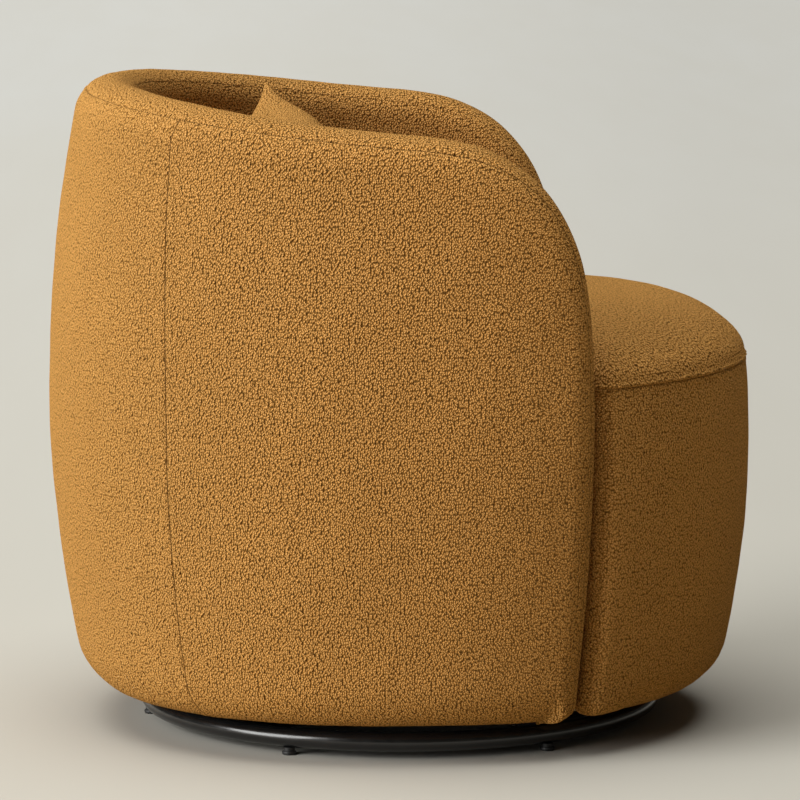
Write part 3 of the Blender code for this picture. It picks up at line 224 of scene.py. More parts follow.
# Stations along the rim: angle, height and turn under the toe, from the back centre to the toe

def rim_angles(first):
    """Plan angles along the rim from a first one to the arm's front, evenly spaced."""
    runs = np.sin(np.linspace(0.0, math.pi / 2, 1500)) ** (2.0 / ARM_CORNER_FULLNESS)
    corner = [mid_angle_at(CORNER_START_Y - (ARM_CORNER_LENGTH - RIM_RADIUS) * run) for run in runs]
    angles = joined(np.linspace(0.0, ARM_CORNER, 1200)[:-1], corner)
    angles = angles[(angles >= first) & (angles <= ARM_FRONT)]
    angles = np.unique(joined([first], angles, [ARM_FRONT]))
    length = lengths(shell_point(angles, rim_mid_height(angles), RIM_RADIUS))
    even = np.linspace(0.0, length[-1], int(round(length[-1] / STEP)) + 1)
    wanted = np.unique(length[np.searchsorted(length, even).clip(0, len(length) - 1)])
    wanted = wanted[joined([True], np.diff(wanted) > SAME_PLACE)]
    return np.interp(wanted, length, angles)


def rim_frame(angle, height):
    """Centre, sideways and outward directions of the rolled rim at stations along it."""
    centre = shell_point(angle, height, RIM_RADIUS)
    ahead = forward(angle)
    step = 0.001
    up = (shell_point(angle, height + step, 0.0) - shell_point(angle, height, 0.0)) / step
    along = np.gradient(centre, axis=0)
    run = (along * ahead).sum(-1)
    climb = along[..., 2]
    flip = np.where(run > 0.0, -1.0, 1.0)
    run, climb = run * flip, climb * flip
    length = np.maximum(np.hypot(run, climb), 1e-9)
    outward = ahead * (climb / length)[..., None] + up * (-run / length)[..., None]
    return centre, shell_normal(angle), outward


EDGE_STATIONS = (0.0, 0.0003, 0.0007, 0.0012, 0.0019, 0.0030, 0.0048, 0.0072, 0.0100)
LOW_TURNS = np.radians([90.0, 82.0, 74.0, 66.0, 58.0, 50.0, 42.0, 34.0, 26.0, 18.0, 9.0])
TOE_TURNS = joined([0.0], LOW_TURNS[::-1])


def rim_stations(first, low):
    """Half of the rim's line, from a plan angle over the corner and down the arm's front."""
    angles = rim_angles(first)
    heights = rim_mid_height(angles)
    heights[-1] = ARM_EDGE_STRAIGHT_HEIGHT
    count = int(round((ARM_EDGE_STRAIGHT_HEIGHT - low) / STEP))
    down = np.linspace(ARM_EDGE_STRAIGHT_HEIGHT, low, count + 1)[1:]
    angles = joined(angles, np.full(count, ARM_FRONT))
    return angles, joined(heights, down), len(angles) - count - 1


def rim_surface(angles, heights, turns):
    """Points of the rolled rim over turn angles, as rows of turns by stations."""
    centre, normal, outward = rim_frame(angles, heights)
    on_front = np.isclose(np.abs(angles), ARM_FRONT)
    outward[on_front] = forward(angles[on_front])
    sideways, outwards = np.sin(turns)[:, None, None], np.cos(turns)[:, None, None]
    return centre[None] + (normal[None] * sideways + outward[None] * outwards) * RIM_RADIUS


def bridge(first, second, axis):
    """Rows between two rows of points, without the two themselves."""
    shares = np.expand_dims(np.linspace(0.0, 1.0, 7)[1:-1], [i for i in range(3) if i != axis])
    return first * (1.0 - shares) + second * shares


def toe_rows(angle, turns):
    """The rim's roll where it turns under the arm's toe, as rows of turns by low steps."""
    degrees = np.degrees(turns)
    share = smooth((degrees - 62.0) / 28.0)
    lift = ARM_TOE_LIFT * (1.0 - smooth((degrees - 25.0) / 65.0))
    rounding = ARM_TOE_ROUNDING + (BOTTOM_ROUNDING - ARM_TOE_ROUNDING) * share
    inset, height = under_turn(rounding[:, None], TOE_TURNS[None])
    height = height + lift[:, None] * np.sin(TOE_TURNS)[None]
    centre = shell_point(np.full_like(height, angle), height, RIM_RADIUS)
    direction = (shell_normal(angle) * np.sin(turns)[:, None, None]
                 + forward(angle) * np.cos(turns)[:, None, None])
    rows = centre + direction * (RIM_RADIUS - inset)[..., None]
    foot = rim_surface(np.array([angle, angle]), np.array([WALL_FOOT, WALL_FOOT + 1e-4]), turns)[:, :1]
    return joined(bridge(foot, rows[:, :1], 1), rows, axis=1)


# Sheets: outer points, quads and each point's distance to its nearest seam

def grid_quads(index):
    """The quads between the neighbours of a grid of point indexes."""
    return np.stack([index[:-1, :-1], index[:-1, 1:], index[1:, 1:], index[1:, :-1]], -1).reshape(-1, 4)


class Sheet:
    def __init__(self):
        self.points, self.seam, self.thick, self.quads = [], [], [], []

    def add(self, rows, seam, thick):
        """Adds a grid of points, with distances to a seam and thicknesses of the same shape."""
        height, width = rows.shape[:2]
        start = sum(len(part) for part in self.points)
        self.points.append(rows.reshape(-1, 3))
        self.seam.append(np.broadcast_to(seam, (height, width)).reshape(-1))
        self.thick.append(np.broadcast_to(thick, (height, width)).reshape(-1))
        self.quads.append(grid_quads(start + np.arange(height * width).reshape(height, width)))

    def merged(self):
        """Points, seams, thicknesses and faces with the shared borders joined."""
        points = np.concatenate(self.points)
        seam, thick = np.concatenate(self.seam), np.concatenate(self.thick)
        keys = np.round(points / 2e-6).astype(np.int64)
        _, first, back = np.unique(keys, axis=0, return_index=True, return_inverse=True)
        faces = back.reshape(-1)[np.concatenate(self.quads)]
        kept = []
        for face in faces.tolist():
            face = [a for a, b in zip(face, face[1:] + face[:1]) if a != b]
            if len(set(face)) == len(face) > 2:
                kept.append(face)
        return points[first], seam[first], thick[first], kept


def new_mesh(name, points, faces, recalculated=False):
    """A smooth mesh, with its faces wound alike and large ones cut into triangles where asked."""
    mesh = bpy.data.meshes.new(name)
    mesh.from_pydata(np.asarray(points).tolist(), [], faces)
    if recalculated:
        tidy = bmesh.new()
        tidy.from_mesh(mesh)
        bmesh.ops.triangulate(tidy, faces=[face for face in tidy.faces if len(face.verts) > 4])
        bmesh.ops.recalc_face_normals(tidy, faces=tidy.faces)
        tidy.to_mesh(mesh)
        tidy.free()
    mesh.update()
    mesh.shade_smooth()
    return mesh


def placed(name, data):
    """A new object in the scene."""
    made = bpy.data.objects.new(name, data)
    bpy.context.scene.collection.objects.link(made)
    return made


def mesh_values(items, kind, count=3):
    values = np.zeros(len(items) * count)
    items.foreach_get(kind, values)
    return values.reshape(-1, count)


def mesh_normals(points, faces):
    mesh = new_mesh("normals", points, faces)
    normals = mesh_values(mesh.vertices, "normal")
    bpy.data.meshes.remove(mesh)
    return normals


def facing_alike(points, faces, facing):
    """Faces all wound the same way round, so that their normals lean to a given direction."""
    mesh = new_mesh("winding", points, faces, recalculated=True)
    faces = [list(face.vertices) for face in mesh.polygons]
    bpy.data.meshes.remove(mesh)
    normals = mesh_normals(points, faces)
    if (normals * facing(points)).sum() < 0.0:
        faces = [face[::-1] for face in faces]
        normals = -normals
    return faces, normals


def strip(first, second, columns):
    """Quads between two closed rows of points, given by the indexes at which they start."""
    pairs = [(column, (column + 1) % columns) for column in range(columns)]
    return [[first + a, first + b, second + b, second + a] for a, b in pairs]


def strips(count, columns):
    """Quads between the neighbours of a number of closed rows that follow one another."""
    return [face for row in range(count - 1) for face in strip(row * columns, (row + 1) * columns, columns)]


WAVES = [(RANDOM.normal(size=3), RANDOM.uniform(0.0, 2 * math.pi)) for _ in range(24)]


def waves(points, lengths, start=0):
    """A smooth, repeatable unevenness between about -1 and 1, from waves of given lengths."""
    total = np.zeros(len(points))
    for number, length in enumerate(lengths):
        direction, phase = WAVES[(start + number) % len(WAVES)]
        total += np.sin(points @ (direction / np.linalg.norm(direction)) * (2 * math.pi / length) + phase)
    return total / math.sqrt(len(lengths))


def upholstery(points):
    """How far the fabric stands proud or sinks, from the padding under it."""
    slow = waves(points, (0.23, 0.17, 0.29, 0.13, 0.19)) * 0.00055
    quick_waves = waves(points, (0.061, 0.047, 0.083, 0.039, 0.055), 5) * 0.00022
    return slow + quick_waves


def seam_depth(distance, points, roll, puff, crest):
    """How deep the edge of a panel rolls into its seam, with small puckers along it."""
    uneven = 1.0 + 0.35 * waves(points, (0.011, 0.017, 0.0083), 10)
    inside = np.clip(roll - distance, 0.0, roll)
    rolled = roll - np.sqrt(np.maximum(roll ** 2 - inside ** 2, 0.0))
    swell = puff * uneven * np.exp(-((distance - crest) / (crest * 0.7)) ** 2)
    return rolled * 1.1 - swell


def mark_seams(mesh, seam, hidden):
    """Stores each point's distance to a seam, from which the fabric gets painted shade along its seams, drawn
    out where the curls hide the seam.
    """
    values = np.minimum(seam * hidden + 0.0004 * (hidden - 1.0), FAR_FROM_SEAM)
    mark = mesh.attributes.new("seam", "FLOAT", "POINT")
    mark.data.foreach_set("value", values.astype(np.float32))


def closed_pad(name, sheet, facing, roll=0.0011, puff=0.0007, crest=0.0065, hidden=1.0):
    """Builds a padded panel: its dressed face, a plain face behind and walls between them."""
    points, seam, thick, faces = sheet.merged()
    faces, normals = facing_alike(points, faces, facing)
    depth = seam_depth(seam, points, roll, puff, crest)
    outer = points - normals * (depth - upholstery(points))[:, None]
    inner = points - normals * thick[:, None]
    count = len(points)
    used = dict.fromkeys(pair for face in faces for pair in zip(face, face[1:] + face[:1]))
    walls = [[b, a, a + count, b + count] for a, b in used if (b, a) not in used]
    everything = faces + [[i + count for i in reversed(face)] for face in faces] + walls
    mesh = new_mesh(name, joined(outer, inner), everything)
    mark_seams(mesh, joined(seam, np.full(count, FAR_FROM_SEAM)), hidden)
    return finish_piece(name, mesh, "chair")


def away_from_axis(points):
    return points * np.array([1.0, 1.0, 0.0])


def towards_axis(points):
    return -away_from_axis(points)


def up_and_ahead(points):
    return np.array([0.0, -0.4, 1.0])


def finish_piece(name, mesh, body):
    made = placed(name, mesh)
    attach(made, body)
    return made


HEM_THICKNESS = 0.004
BAND_PADDING = 0.018
LINING_THICKNESS = 0.0312


def wall_thickness(height):
    """Thickness of the fabric and its padding, which is thin at the hem."""
    return HEM_THICKNESS + 0.008 * smooth((height - 0.060) / 0.030) + 0.0192 * smooth((height - 0.095) / 0.04)


def with_edges(length, step, low_edge, high_edge):
    """Places along a length in even steps, with close ones at the edges that are seams."""
    count = max(int(round(length / step)), 2)
    places = list(np.linspace(0.0, length, count + 1))
    if low_edge:
        places = [p for p in places if p > EDGE_STATIONS[-1] + step / 2] + list(EDGE_STATIONS)
    if high_edge:
        places = [p for p in places if p < length - EDGE_STATIONS[-1] - step / 2]
        places += [length - d for d in EDGE_STATIONS]
    return np.unique(np.round(places, 9))


def wall_table(depth):
    """Plan angles from the back's middle to the arm's front, and how far along the wall they lie."""
    plan = np.linspace(0.0, ARM_FRONT, 6000)
    return plan, lengths(shell_point(plan, BELLY_HEIGHT, depth))


def shares_along(line):
    length = lengths(line)
    return length / length[-1]


def patch(bottom, top, left, right):
    """A grid of places between four border lines, which it keeps."""
    u, v = shares_along(top)[None, :, None], shares_along(right)[:, None, None]
    grid = ((1 - v) * bottom[None] + v * top[None] + (1 - u) * left[:, None] + u * right[:, None]
            - (1 - u) * ((1 - v) * bottom[0] + v * top[0]) - u * ((1 - v) * bottom[-1] + v * top[-1]))
    grid[0], grid[-1], grid[:, 0], grid[:, -1] = bottom, top, left, right
    return grid


def strip_turns(first, last, edge_first, edge_last):
    """Turn angles over the rim between two angles, close together at an edge that is a seam."""
    places = with_edges(abs(last - first) * RIM_RADIUS, STEP, edge_first, edge_last)
    return first + math.copysign(1.0, last - first) * places / RIM_RADIUS


SEAM_TOP = float(rear_seam(rim_mid_height(REAR_SEAM)))
PANEL_TURNS = strip_turns(math.pi / 2, BAND_TURN + SEAM_HALF_GAP / RIM_RADIUS, False, True)
PANEL_ACROSS = ((PANEL_TURNS - PANEL_TURNS[-1]) * RIM_RADIUS)[:, None]


def hem_rows(sheet, angles, seam):
    """The fabric's turn under the chair and the strip of it fixed there."""
    inset, height = under_turn(BOTTOM_ROUNDING, TOE_TURNS)
    rows = shell_point(angles[None], height[:, None], inset[:, None])
    sheet.add(rows[::-1], seam, wall_thickness(height)[::-1, None])
    depths = BOTTOM_ROUNDING + np.array([[TURN_UNDER], [0.0]])
    sheet.add(shell_point(angles[None], FABRIC_BOTTOM, depths), seam, HEM_THICKNESS)


def side_panel(name, side):
    """The fabric round one side: from the rear seam to the arm's front and over its edge."""
    sheet = Sheet()
    angles, heights, front = rim_stations(SEAM_TOP, WALL_FOOT)
    length = lengths(shell_point(angles, heights, RIM_RADIUS))
    close = np.interp(SEAM_HALF_GAP + np.array(EDGE_STATIONS), length, angles)
    keep = (angles > close[-1] + 0.004) | (heights < ARM_EDGE_STRAIGHT_HEIGHT)
    front += len(close) - np.count_nonzero(~keep)
    angles, heights = (joined(close, angles[keep]),
                       joined(rim_mid_height(close), heights[keep]))
    middle = front - int(ARM_CORNER_REACH / STEP)

    # The wall is a grid whose fourth corner lies in the middle of the arm's rounded corner
    plan, arc = wall_table(0.0)
    s = np.interp(angles, plan, arc)
    line = np.stack([s, heights], -1)
    top, right = line[:middle + 1], line[middle:][::-1]
    levels = WALL_FOOT + (heights[0] - WALL_FOOT) * shares_along(right)
    seam_line = s[0] + np.interp(rear_seam(levels), plan, arc) - np.interp(rear_seam(levels[-1]), plan, arc)
    evenly = seam_line[0] + (s[-1] - seam_line[0]) * shares_along(top)
    near = seam_line[0] + (s[:middle + 1] - s[0])
    blend = smooth((near - near[0]) / 0.03)
    bottom = np.stack([near * (1.0 - blend) + evenly * blend, np.full(middle + 1, WALL_FOOT)], -1)
    flat = patch(bottom, top, np.stack([seam_line, levels], -1), right)
    wall_angles = np.interp(flat[..., 0], arc, plan)
    wall_angles[-1] = angles[:middle + 1]
    wall_angles[:, -1] = angles[middle:][::-1]
    to_seam = np.clip(flat[..., 0] - seam_line[:, None], 0.0, FAR_FROM_SEAM)
    sheet.add(shell_point(wall_angles, flat[..., 1], 0.0), to_seam, wall_thickness(flat[..., 1]))
    hem_rows(sheet, wall_angles[0], np.minimum(bottom[:, 0] - bottom[0, 0], FAR_FROM_SEAM)[None])

    low = toe_rows(ARM_FRONT, PANEL_TURNS)
    rows = joined(rim_surface(angles, heights, PANEL_TURNS), low, axis=1)
    along = np.where(heights < ARM_EDGE_STRAIGHT_HEIGHT, FAR_FROM_SEAM, np.minimum(s - s[0], FAR_FROM_SEAM))
    along = joined(along, np.full(low.shape[1], FAR_FROM_SEAM))
    sheet.add(rows, np.minimum(PANEL_ACROSS, along[None]), wall_thickness(rows[..., 2]))
    if side < 0:
        for part in sheet.points:
            part[:, 0] *= -1.0
    return closed_pad(name, sheet, away_from_axis)


def back_panel(name):
    """The fabric across the back, between the two rear seams."""
    sheet = Sheet()
    plan, arc = wall_table(0.0)
    half_low = np.interp(REAR_SEAM, plan, arc) - SEAM_HALF_GAP
    places = with_edges(2 * half_low, STEP, True, True)
    to_seam = np.minimum(places, 2 * half_low - places)

    def angles_at(height):
        half = np.interp(rear_seam(height), plan, arc) - SEAM_HALF_GAP
        along = (half - to_seam * half / half_low) * np.sign(places - half_low)
        return np.sign(along) * np.interp(np.abs(along), arc, plan)

    seam_top = rim_mid_height(SEAM_TOP)
    tops = rim_mid_height(angles_at(seam_top))
    shares = np.linspace(0.0, 1.0, WALL_ROWS)
    rows = np.array([angles_at(WALL_FOOT + (seam_top - WALL_FOOT) * share) for share in shares])
    levels = WALL_FOOT + (tops - WALL_FOOT) * shares[:, None]
    sheet.add(shell_point(rows, levels, 0.0), to_seam[None], wall_thickness(levels))
    hem_rows(sheet, rows[0], to_seam[None])
    sheet.add(rim_surface(rows[-1], tops, PANEL_TURNS), np.minimum(PANEL_ACROSS * 2.5, to_seam[None]),
              wall_thickness(tops)[None])
    return closed_pad(name, sheet, away_from_axis)


def whole_rim(low):
    """Stations of the whole rim, from the left arm's front to the right arm's."""
    angles, heights, _ = rim_stations(0.0, low)
    return joined(-angles[:0:-1], angles), joined(heights[:0:-1], heights)


def rim_roll(name):
    """The band of fabric rolled over the rim, from one arm's toe to the other's."""
    sheet = Sheet()
    angles, heights = whole_rim(WALL_FOOT)
    edge = BAND_TURN - SEAM_HALF_GAP / RIM_RADIUS
    turns = strip_turns(edge, -edge, True, True)
    across = (edge - np.abs(turns)) * RIM_RADIUS + np.where(turns < 0.0, 0.003, 0.0)
    rows = np.concatenate([toe_rows(-ARM_FRONT, turns)[:, ::-1], rim_surface(angles, heights, turns),
                           toe_rows(ARM_FRONT, turns)], axis=1)
    sheet.add(rows, across[:, None], wall_thickness(rows[..., 2]))
    return closed_pad(name, sheet, up_and_ahead, roll=0.0009, puff=0.0006, hidden=1.3)


def tub_lining(name):
    """The fabric and padding of the tub's inside, from below the seat up to the rim."""
    sheet = Sheet()
    angles, heights, front = rim_stations(0.0, LINING_FOOT)
    middle = front - int(ARM_CORNER_REACH / STEP)
    plan, arc = wall_table(SHELL_WALL)
    line = np.stack([np.interp(angles, plan, arc), heights], -1)
    top, right = line[:middle + 1], line[middle:][::-1]
    top = joined(top[:0:-1] * LEFT[:2], top)
    bottom = np.stack([line[-1, 0] * (2 * shares_along(top) - 1.0), np.full(len(top), LINING_FOOT)], -1)
    flat = patch(bottom, top, right * LEFT[:2], right)
    wall = np.sign(flat[..., 0]) * np.interp(np.abs(flat[..., 0]), arc, plan)
    wall[-1] = joined(-angles[middle:0:-1], angles[:middle + 1])
    wall[:, -1] = angles[middle:][::-1]
    wall[:, 0] = -wall[:, -1]
    sheet.add(inner_point(wall, flat[..., 1], 0.0), FAR_FROM_SEAM, LINING_THICKNESS)
    rows = rim_surface(*whole_rim(LINING_FOOT), -PANEL_TURNS)
    sheet.add(rows[::-1], PANEL_ACROSS[::-1], LINING_THICKNESS)
    return closed_pad(name, sheet, towards_axis, roll=0.0001, puff=0.0, hidden=8.0)


# Seat drum, its band and its top

def drum_size(height):
    scale = float(drum_scale(height))
    return HALF_WIDTH * scale, HALF_DEPTH_FRONT * scale, 2.0


def drum_point(angle, height, inset):
    size = drum_size(height)
    at = oval(angle, *size) - oval_normal(angle, *size) * inset
    at[..., 2] = height
    return at


def drum_corner(height):
    arm = shell_point(ARM_FRONT, height, RIM_RADIUS)
    reach = RIM_RADIUS + CREVICE + DRUM_FILLET
    angle = solve(lambda a: np.linalg.norm(drum_point(a, height, DRUM_FILLET) - arm) - reach,
                  ARM_FRONT, math.pi)
    return angle, drum_point(angle, height, DRUM_FILLET), arm


def turned(direction):
    return math.atan2(direction[0], direction[1])


DRUM_STEPS = int(0.50 / STEP)
FILLET_STEPS = 16


def level_directions(first, last, steps):
    """Level directions that turn from one bearing to another, without the first."""
    turns = np.linspace(first, last, steps + 1)[1:]
    return np.stack([np.sin(turns), np.cos(turns), np.zeros_like(turns)], -1)


def drum_half(height, inset):
    """The right half of the drum's plan from the front centre into the groove."""
    last, centre, arm = drum_corner(height)
    path = drum_point(np.linspace(math.pi, last, DRUM_STEPS), height, inset)
    start = turned(oval_normal(last, *drum_size(height)))
    directions = level_directions(start, turned(arm - centre), FILLET_STEPS)
    return joined(path, centre + directions * (DRUM_FILLET - inset))


def mirrored(half):
    return joined(half[:0:-1] * LEFT, half)


def looped(half):
    return joined(half, half[-2:0:-1] * LEFT)


def seat_band(name):
    """The fabric round the drum, from the hem under it to the seam at the seat's top."""
    sheet = Sheet()
    count = DRUM_STEPS + FILLET_STEPS
    share = smooth((np.arange(count) - DRUM_STEPS * 0.78) / (DRUM_STEPS * 0.22))
    rounding = BOTTOM_ROUNDING + (DRUM_TOE_ROUNDING - BOTTOM_ROUNDING) * share
    under = TURN_UNDER + (GROOVE_TURN_UNDER - TURN_UNDER) * share
    low = []
    for row, turn in enumerate(joined([math.pi / 2], TOE_TURNS[::-1])):
        half, halves = [], {}
        for station in range(count):
            inset, height = under_turn(rounding[station], turn)
            inset += under[station] if row == 0 else 0.0
            height += DRUM_TOE_LIFT * share[station] * math.sin(turn)
            key = (round(float(height), 7), round(float(inset), 7))
            if key not in halves:
                halves[key] = drum_half(float(height), float(inset))
            half.append(halves[key][station])
        low.append(mirrored(np.array(half)))
    low = np.array(low)
    places = with_edges(SEAT_SEAM_HEIGHT - SEAM_HALF_GAP - WALL_FOOT, STEP, False, True)
    side = np.array([mirrored(drum_half(WALL_FOOT + place, 0.0)) for place in places])
    grid = joined(low, bridge(low[-1:], side[:1], 0), side)
    seam = np.full(len(grid), FAR_FROM_SEAM)
    seam[-len(places):] = np.minimum(places[-1] - places, FAR_FROM_SEAM)
    height = grid[..., 2]
    filled = smooth((height - 0.10) / 0.05) * (1.0 - smooth((height - 0.30) / 0.02))
    thin = np.clip(1.0 - share, 0.0, 1.0) * BAND_PADDING
    thin = joined(thin[:0:-1], thin)
    sheet.add(grid, seam[:, None], HEM_THICKNESS + thin[None] * filled)
    return closed_pad(name, sheet, away_from_axis, roll=0.0005, puff=0.0007, crest=0.0032, hidden=2.5)


def seat_loop(height, inset):
    """The seat's outline: drum front, groove, round the arm and up the tub, and back mirrored."""
    path = drum_half(height, inset)
    _, centre, arm = drum_corner(height)
    start = turned(centre - arm) % (2 * math.pi)
    inward = turned(-shell_normal(ARM_FRONT)) % (2 * math.pi)
    hug = arm + level_directions(start, inward, 18) * (RIM_RADIUS + CREVICE + inset)
    angles = np.linspace(ARM_FRONT, 0.0, WALL_ROWS)[1:]
    lining = inner_point(angles, height, -(CREVICE + inset))
    return looped(joined(path, hug, lining))


def dome_profile():
    """Shares of the way in and rises of the seat's top from its seam, and lengths along it."""
    share = np.linspace(0.0, 1.0, 6001) ** 4
    rise = SEAT_CROWN * (1.0 - (1.0 - share) ** SEAT_CROWN_FULLNESS) ** (1.0 / SEAT_SHOULDER_FULLNESS)
    length = lengths(np.stack([share * (HALF_DEPTH_FRONT + SEAT_CENTRE_Y), rise], -1))
    places = with_edges(length[-1], STEP * 1.2, True, False)[:-1]
    return np.interp(places, length, share), np.interp(places, length, rise), places


# Half width, half depth behind and half depth ahead of the oval that the seat's inner rows follow
INNER_OVAL = (0.33, 0.40, 0.2049)
SEAT_TUCK = 0.0062
CLOTH = {"quality": 6, "mass": 0.3, "use_pressure": True, "tension_stiffness": 25.0, "bending_stiffness": 2.5,
         "compression_stiffness": 25.0, "shear_stiffness": 12.0}
CLOTH_FRAMES = 20


def inflated(points, faces, pinned, cap, pressure):
    """Fills a closed or pinned form by a cloth simulation, and returns how far each point moves."""
    form = placed("form", new_mesh("form", points, faces))
    scene = bpy.context.scene
    group = form.vertex_groups.new(name="pins")
    group.add(np.nonzero(pinned)[0].tolist(), 1.0, "REPLACE")
    cloth = form.modifiers.new("fill", "CLOTH")
    for key, value in CLOTH.items():
        setattr(cloth.settings, key, value)
    cloth.settings.uniform_pressure_force = pressure
    cloth.settings.effector_weights.gravity = 0.0
    cloth.settings.vertex_group_mass = group.name
    cloth.collision_settings.use_collision = False
    cloth.point_cache.frame_start = 1
    cloth.point_cache.frame_end = CLOTH_FRAMES
    for number in range(1, CLOTH_FRAMES + 1):
        scene.frame_set(number)
    filled = form.evaluated_get(bpy.context.evaluated_depsgraph_get())
    shift = mesh_values(filled.to_mesh().vertices, "co") - mesh_values(form.data.vertices, "co")
    filled.to_mesh_clear()
    bpy.data.objects.remove(form, do_unlink=True)
    scene.frame_set(1)
    length = np.linalg.norm(shift, axis=1, keepdims=True)
    return shift * np.minimum(1.0, cap / np.maximum(length, 1e-9))


def seat_cushion(name):
    """The domed top sewn to the band, filled by a cloth simulation, with its foam below."""
    scales, rises, places = dome_profile()
    base = SEAT_SEAM_HEIGHT + SEAM_HALF_GAP
    centre = np.array([0.0, SEAT_CENTRE_Y, 0.0])
    spokes = (seat_loop(SEAT_SEAM_HEIGHT, 0.0) - centre) * np.array([1.0, 1.0, 0.0])
    columns = len(spokes)
    bearing = np.arctan2(spokes[:, 0], spokes[:, 1])
    round_loop = np.stack([np.sin(bearing), np.cos(bearing), np.zeros(columns)], -1)
    half_width, behind, ahead = INNER_OVAL
    half_depth = np.where(round_loop[:, 1] > 0, behind, ahead)
    even = 1.0 / np.hypot(round_loop[:, 0] / half_width, round_loop[:, 1] / half_depth)
    rows = []
    for scale, rise in zip(scales, rises):
        share = smooth((scale - 0.1) / 0.7)
        row = centre + (spokes * (1.0 - share) + round_loop * (even * share)[:, None]) * (1.0 - scale)
        row[:, 2] = base + rise
        rows.append(row)
    last = (len(rows) - 1) * columns
    points = np.concatenate(rows + [np.array([[0.0, SEAT_CENTRE_Y, base + SEAT_CROWN]])])
    faces = strips(len(rows), columns)
    faces += [[last + column, last + (column + 1) % columns, last + columns] for column in range(columns)]
    seam = np.append(np.repeat(np.minimum(places, FAR_FROM_SEAM), columns), FAR_FROM_SEAM)
    shift = inflated(points, faces, seam < 0.011, cap=0.006, pressure=4.0)
    points = points + shift * 0.6 * smooth((seam - 0.010) / 0.04)[:, None]
    normals = mesh_normals(points, faces)
    normals = normals * np.sign(normals[:, 2].mean())
    depth = seam_depth(seam, points, 0.0005, 0.0020, 0.0028)
    points = points - normals * (depth - upholstery(points) * smooth(seam / 0.02))[:, None]
    side = [seat_loop(height, SEAT_TUCK) for height in (base - 0.002, 0.38, SEAT_DECK)]
    foam = last + columns + 1
    faces += strip(foam, 0, columns) + strip(foam + columns, foam, columns)
    faces += strip(foam + 2 * columns, foam + columns, columns)
    faces.append([foam + 2 * columns + column for column in range(columns)])
    mesh = new_mesh(name, np.concatenate([points] + side), faces, recalculated=True)
    # The tucked sides get a seam distance of nought, so the fabric paints them with the full seam shade.
    mark_seams(mesh, np.append(seam, np.zeros(3 * columns)), 4.0)
    return finish_piece(name, mesh, "chair")


# Loose pillow

PILLOW_WIDTH = 0.450
PILLOW_HEIGHT = 0.270
PILLOW_THICKNESS = 0.150
PILLOW_DRAW_IN = 0.022
PILLOW_EDGE = 0.0022
PILLOW_TILT = math.radians(-20.0)
CORNER_EAR = 0.085


def pillow_places(length):
    """Places from -1 to 1 across the pillow, closer together towards its edges."""
    count = int(length / STEP)
    return -np.cos(np.linspace(0.0, math.pi, count + 1)) * 0.55 + np.linspace(-1, 1, count + 1) * 0.45


def pillow_form(name):
    """A knife-edged pillow of two fabric faces, filled by a cloth simulation."""
    u, v = np.meshgrid(pillow_places(PILLOW_WIDTH), pillow_places(PILLOW_HEIGHT))
    x = u * (PILLOW_WIDTH / 2 - PILLOW_DRAW_IN * (1.0 - v * v) * u * u)
    z = v * (PILLOW_HEIGHT / 2 - PILLOW_DRAW_IN * (1.0 - u * u) * v * v)
    fullness = (np.maximum(1.0 - u * u, 0.0) * np.maximum(1.0 - v * v, 0.0)) ** 0.42
    y = PILLOW_EDGE + (PILLOW_THICKNESS / 2 - PILLOW_EDGE) * fullness
    front = np.stack([x, -y, z], -1)
    back = np.stack([x, y, z], -1)
    index = np.arange(u.size).reshape(u.shape)
    ring = joined(index[0, :-1], index[:-1, -1], index[-1, :0:-1], index[:0:-1, 0])
    seam_points = front.reshape(-1, 3)[ring] * np.array([1.0, 0.0, 1.0])
    inward = seam_points.mean(0) - seam_points
    seam_points = seam_points + inward / np.linalg.norm(inward, axis=1, keepdims=True) * 0.0018
    points = joined(front.reshape(-1, 3), back.reshape(-1, 3), seam_points)
    quads = grid_quads(index)
    faces = np.stack([quads, quads[:, ::-1] + index.size], 1).reshape(-1, 4).tolist()
    middle = 2 * index.size
    for i, (a, b) in enumerate(zip(ring.tolist(), np.roll(ring, -1).tolist())):
        j = (i + 1) % len(ring)
        faces.append([b, a, middle + i, middle + j])
        faces.append([a + index.size, b + index.size, middle + j, middle + i])
    start = points * np.array([1.0, 0.86, 1.0])
    points = start + inflated(start, faces, np.zeros(len(start)), cap=0.016, pressure=3.0)
    size = np.array([PILLOW_WIDTH, PILLOW_THICKNESS, PILLOW_HEIGHT])
    points = points * np.minimum(size / (points.max(0) - points.min(0)), 1.0)
    to_edge = np.minimum((1 - np.abs(u)) * PILLOW_WIDTH / 2, (1 - np.abs(v)) * PILLOW_HEIGHT / 2).reshape(-1)
    seam = joined(to_edge, to_edge, np.zeros(len(ring)))
    # The upper corners are drawn out to thin ears, the one nearest the left arm less
    from_corner = np.hypot(np.abs(points[:, 0]) - PILLOW_WIDTH / 2, points[:, 2] - PILLOW_HEIGHT / 2)
    ear = smooth(1.0 - from_corner / CORNER_EAR) * np.where(points[:, 0] < 0.0, 0.35, 1.0)
    squeeze = points[:, 1] * ear * -0.60
    cosine, sine = math.cos(PILLOW_TILT), math.sin(PILLOW_TILT)
    turn = np.array([[1, 0, 0], [0, cosine, -sine], [0, sine, cosine]])
    points = points @ turn.T
    low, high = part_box("pillow")
    points += (np.array(low) + np.array(high)) / 2 - (points.max(0) + points.min(0)) / 2
    points += squeeze[:, None] * turn[:, 1] + ear[:, None] * np.array([0.0, -0.002, 0.0115])
    normals = mesh_normals(points, faces)
    points = points + normals * (upholstery(points) * smooth(seam / 0.02))[:, None]
    mesh = new_mesh(name, points, faces)
    mark_seams(mesh, seam, 4.0)
    return finish_piece(name, mesh, "pillow")


# Dust cloth under the seat's box

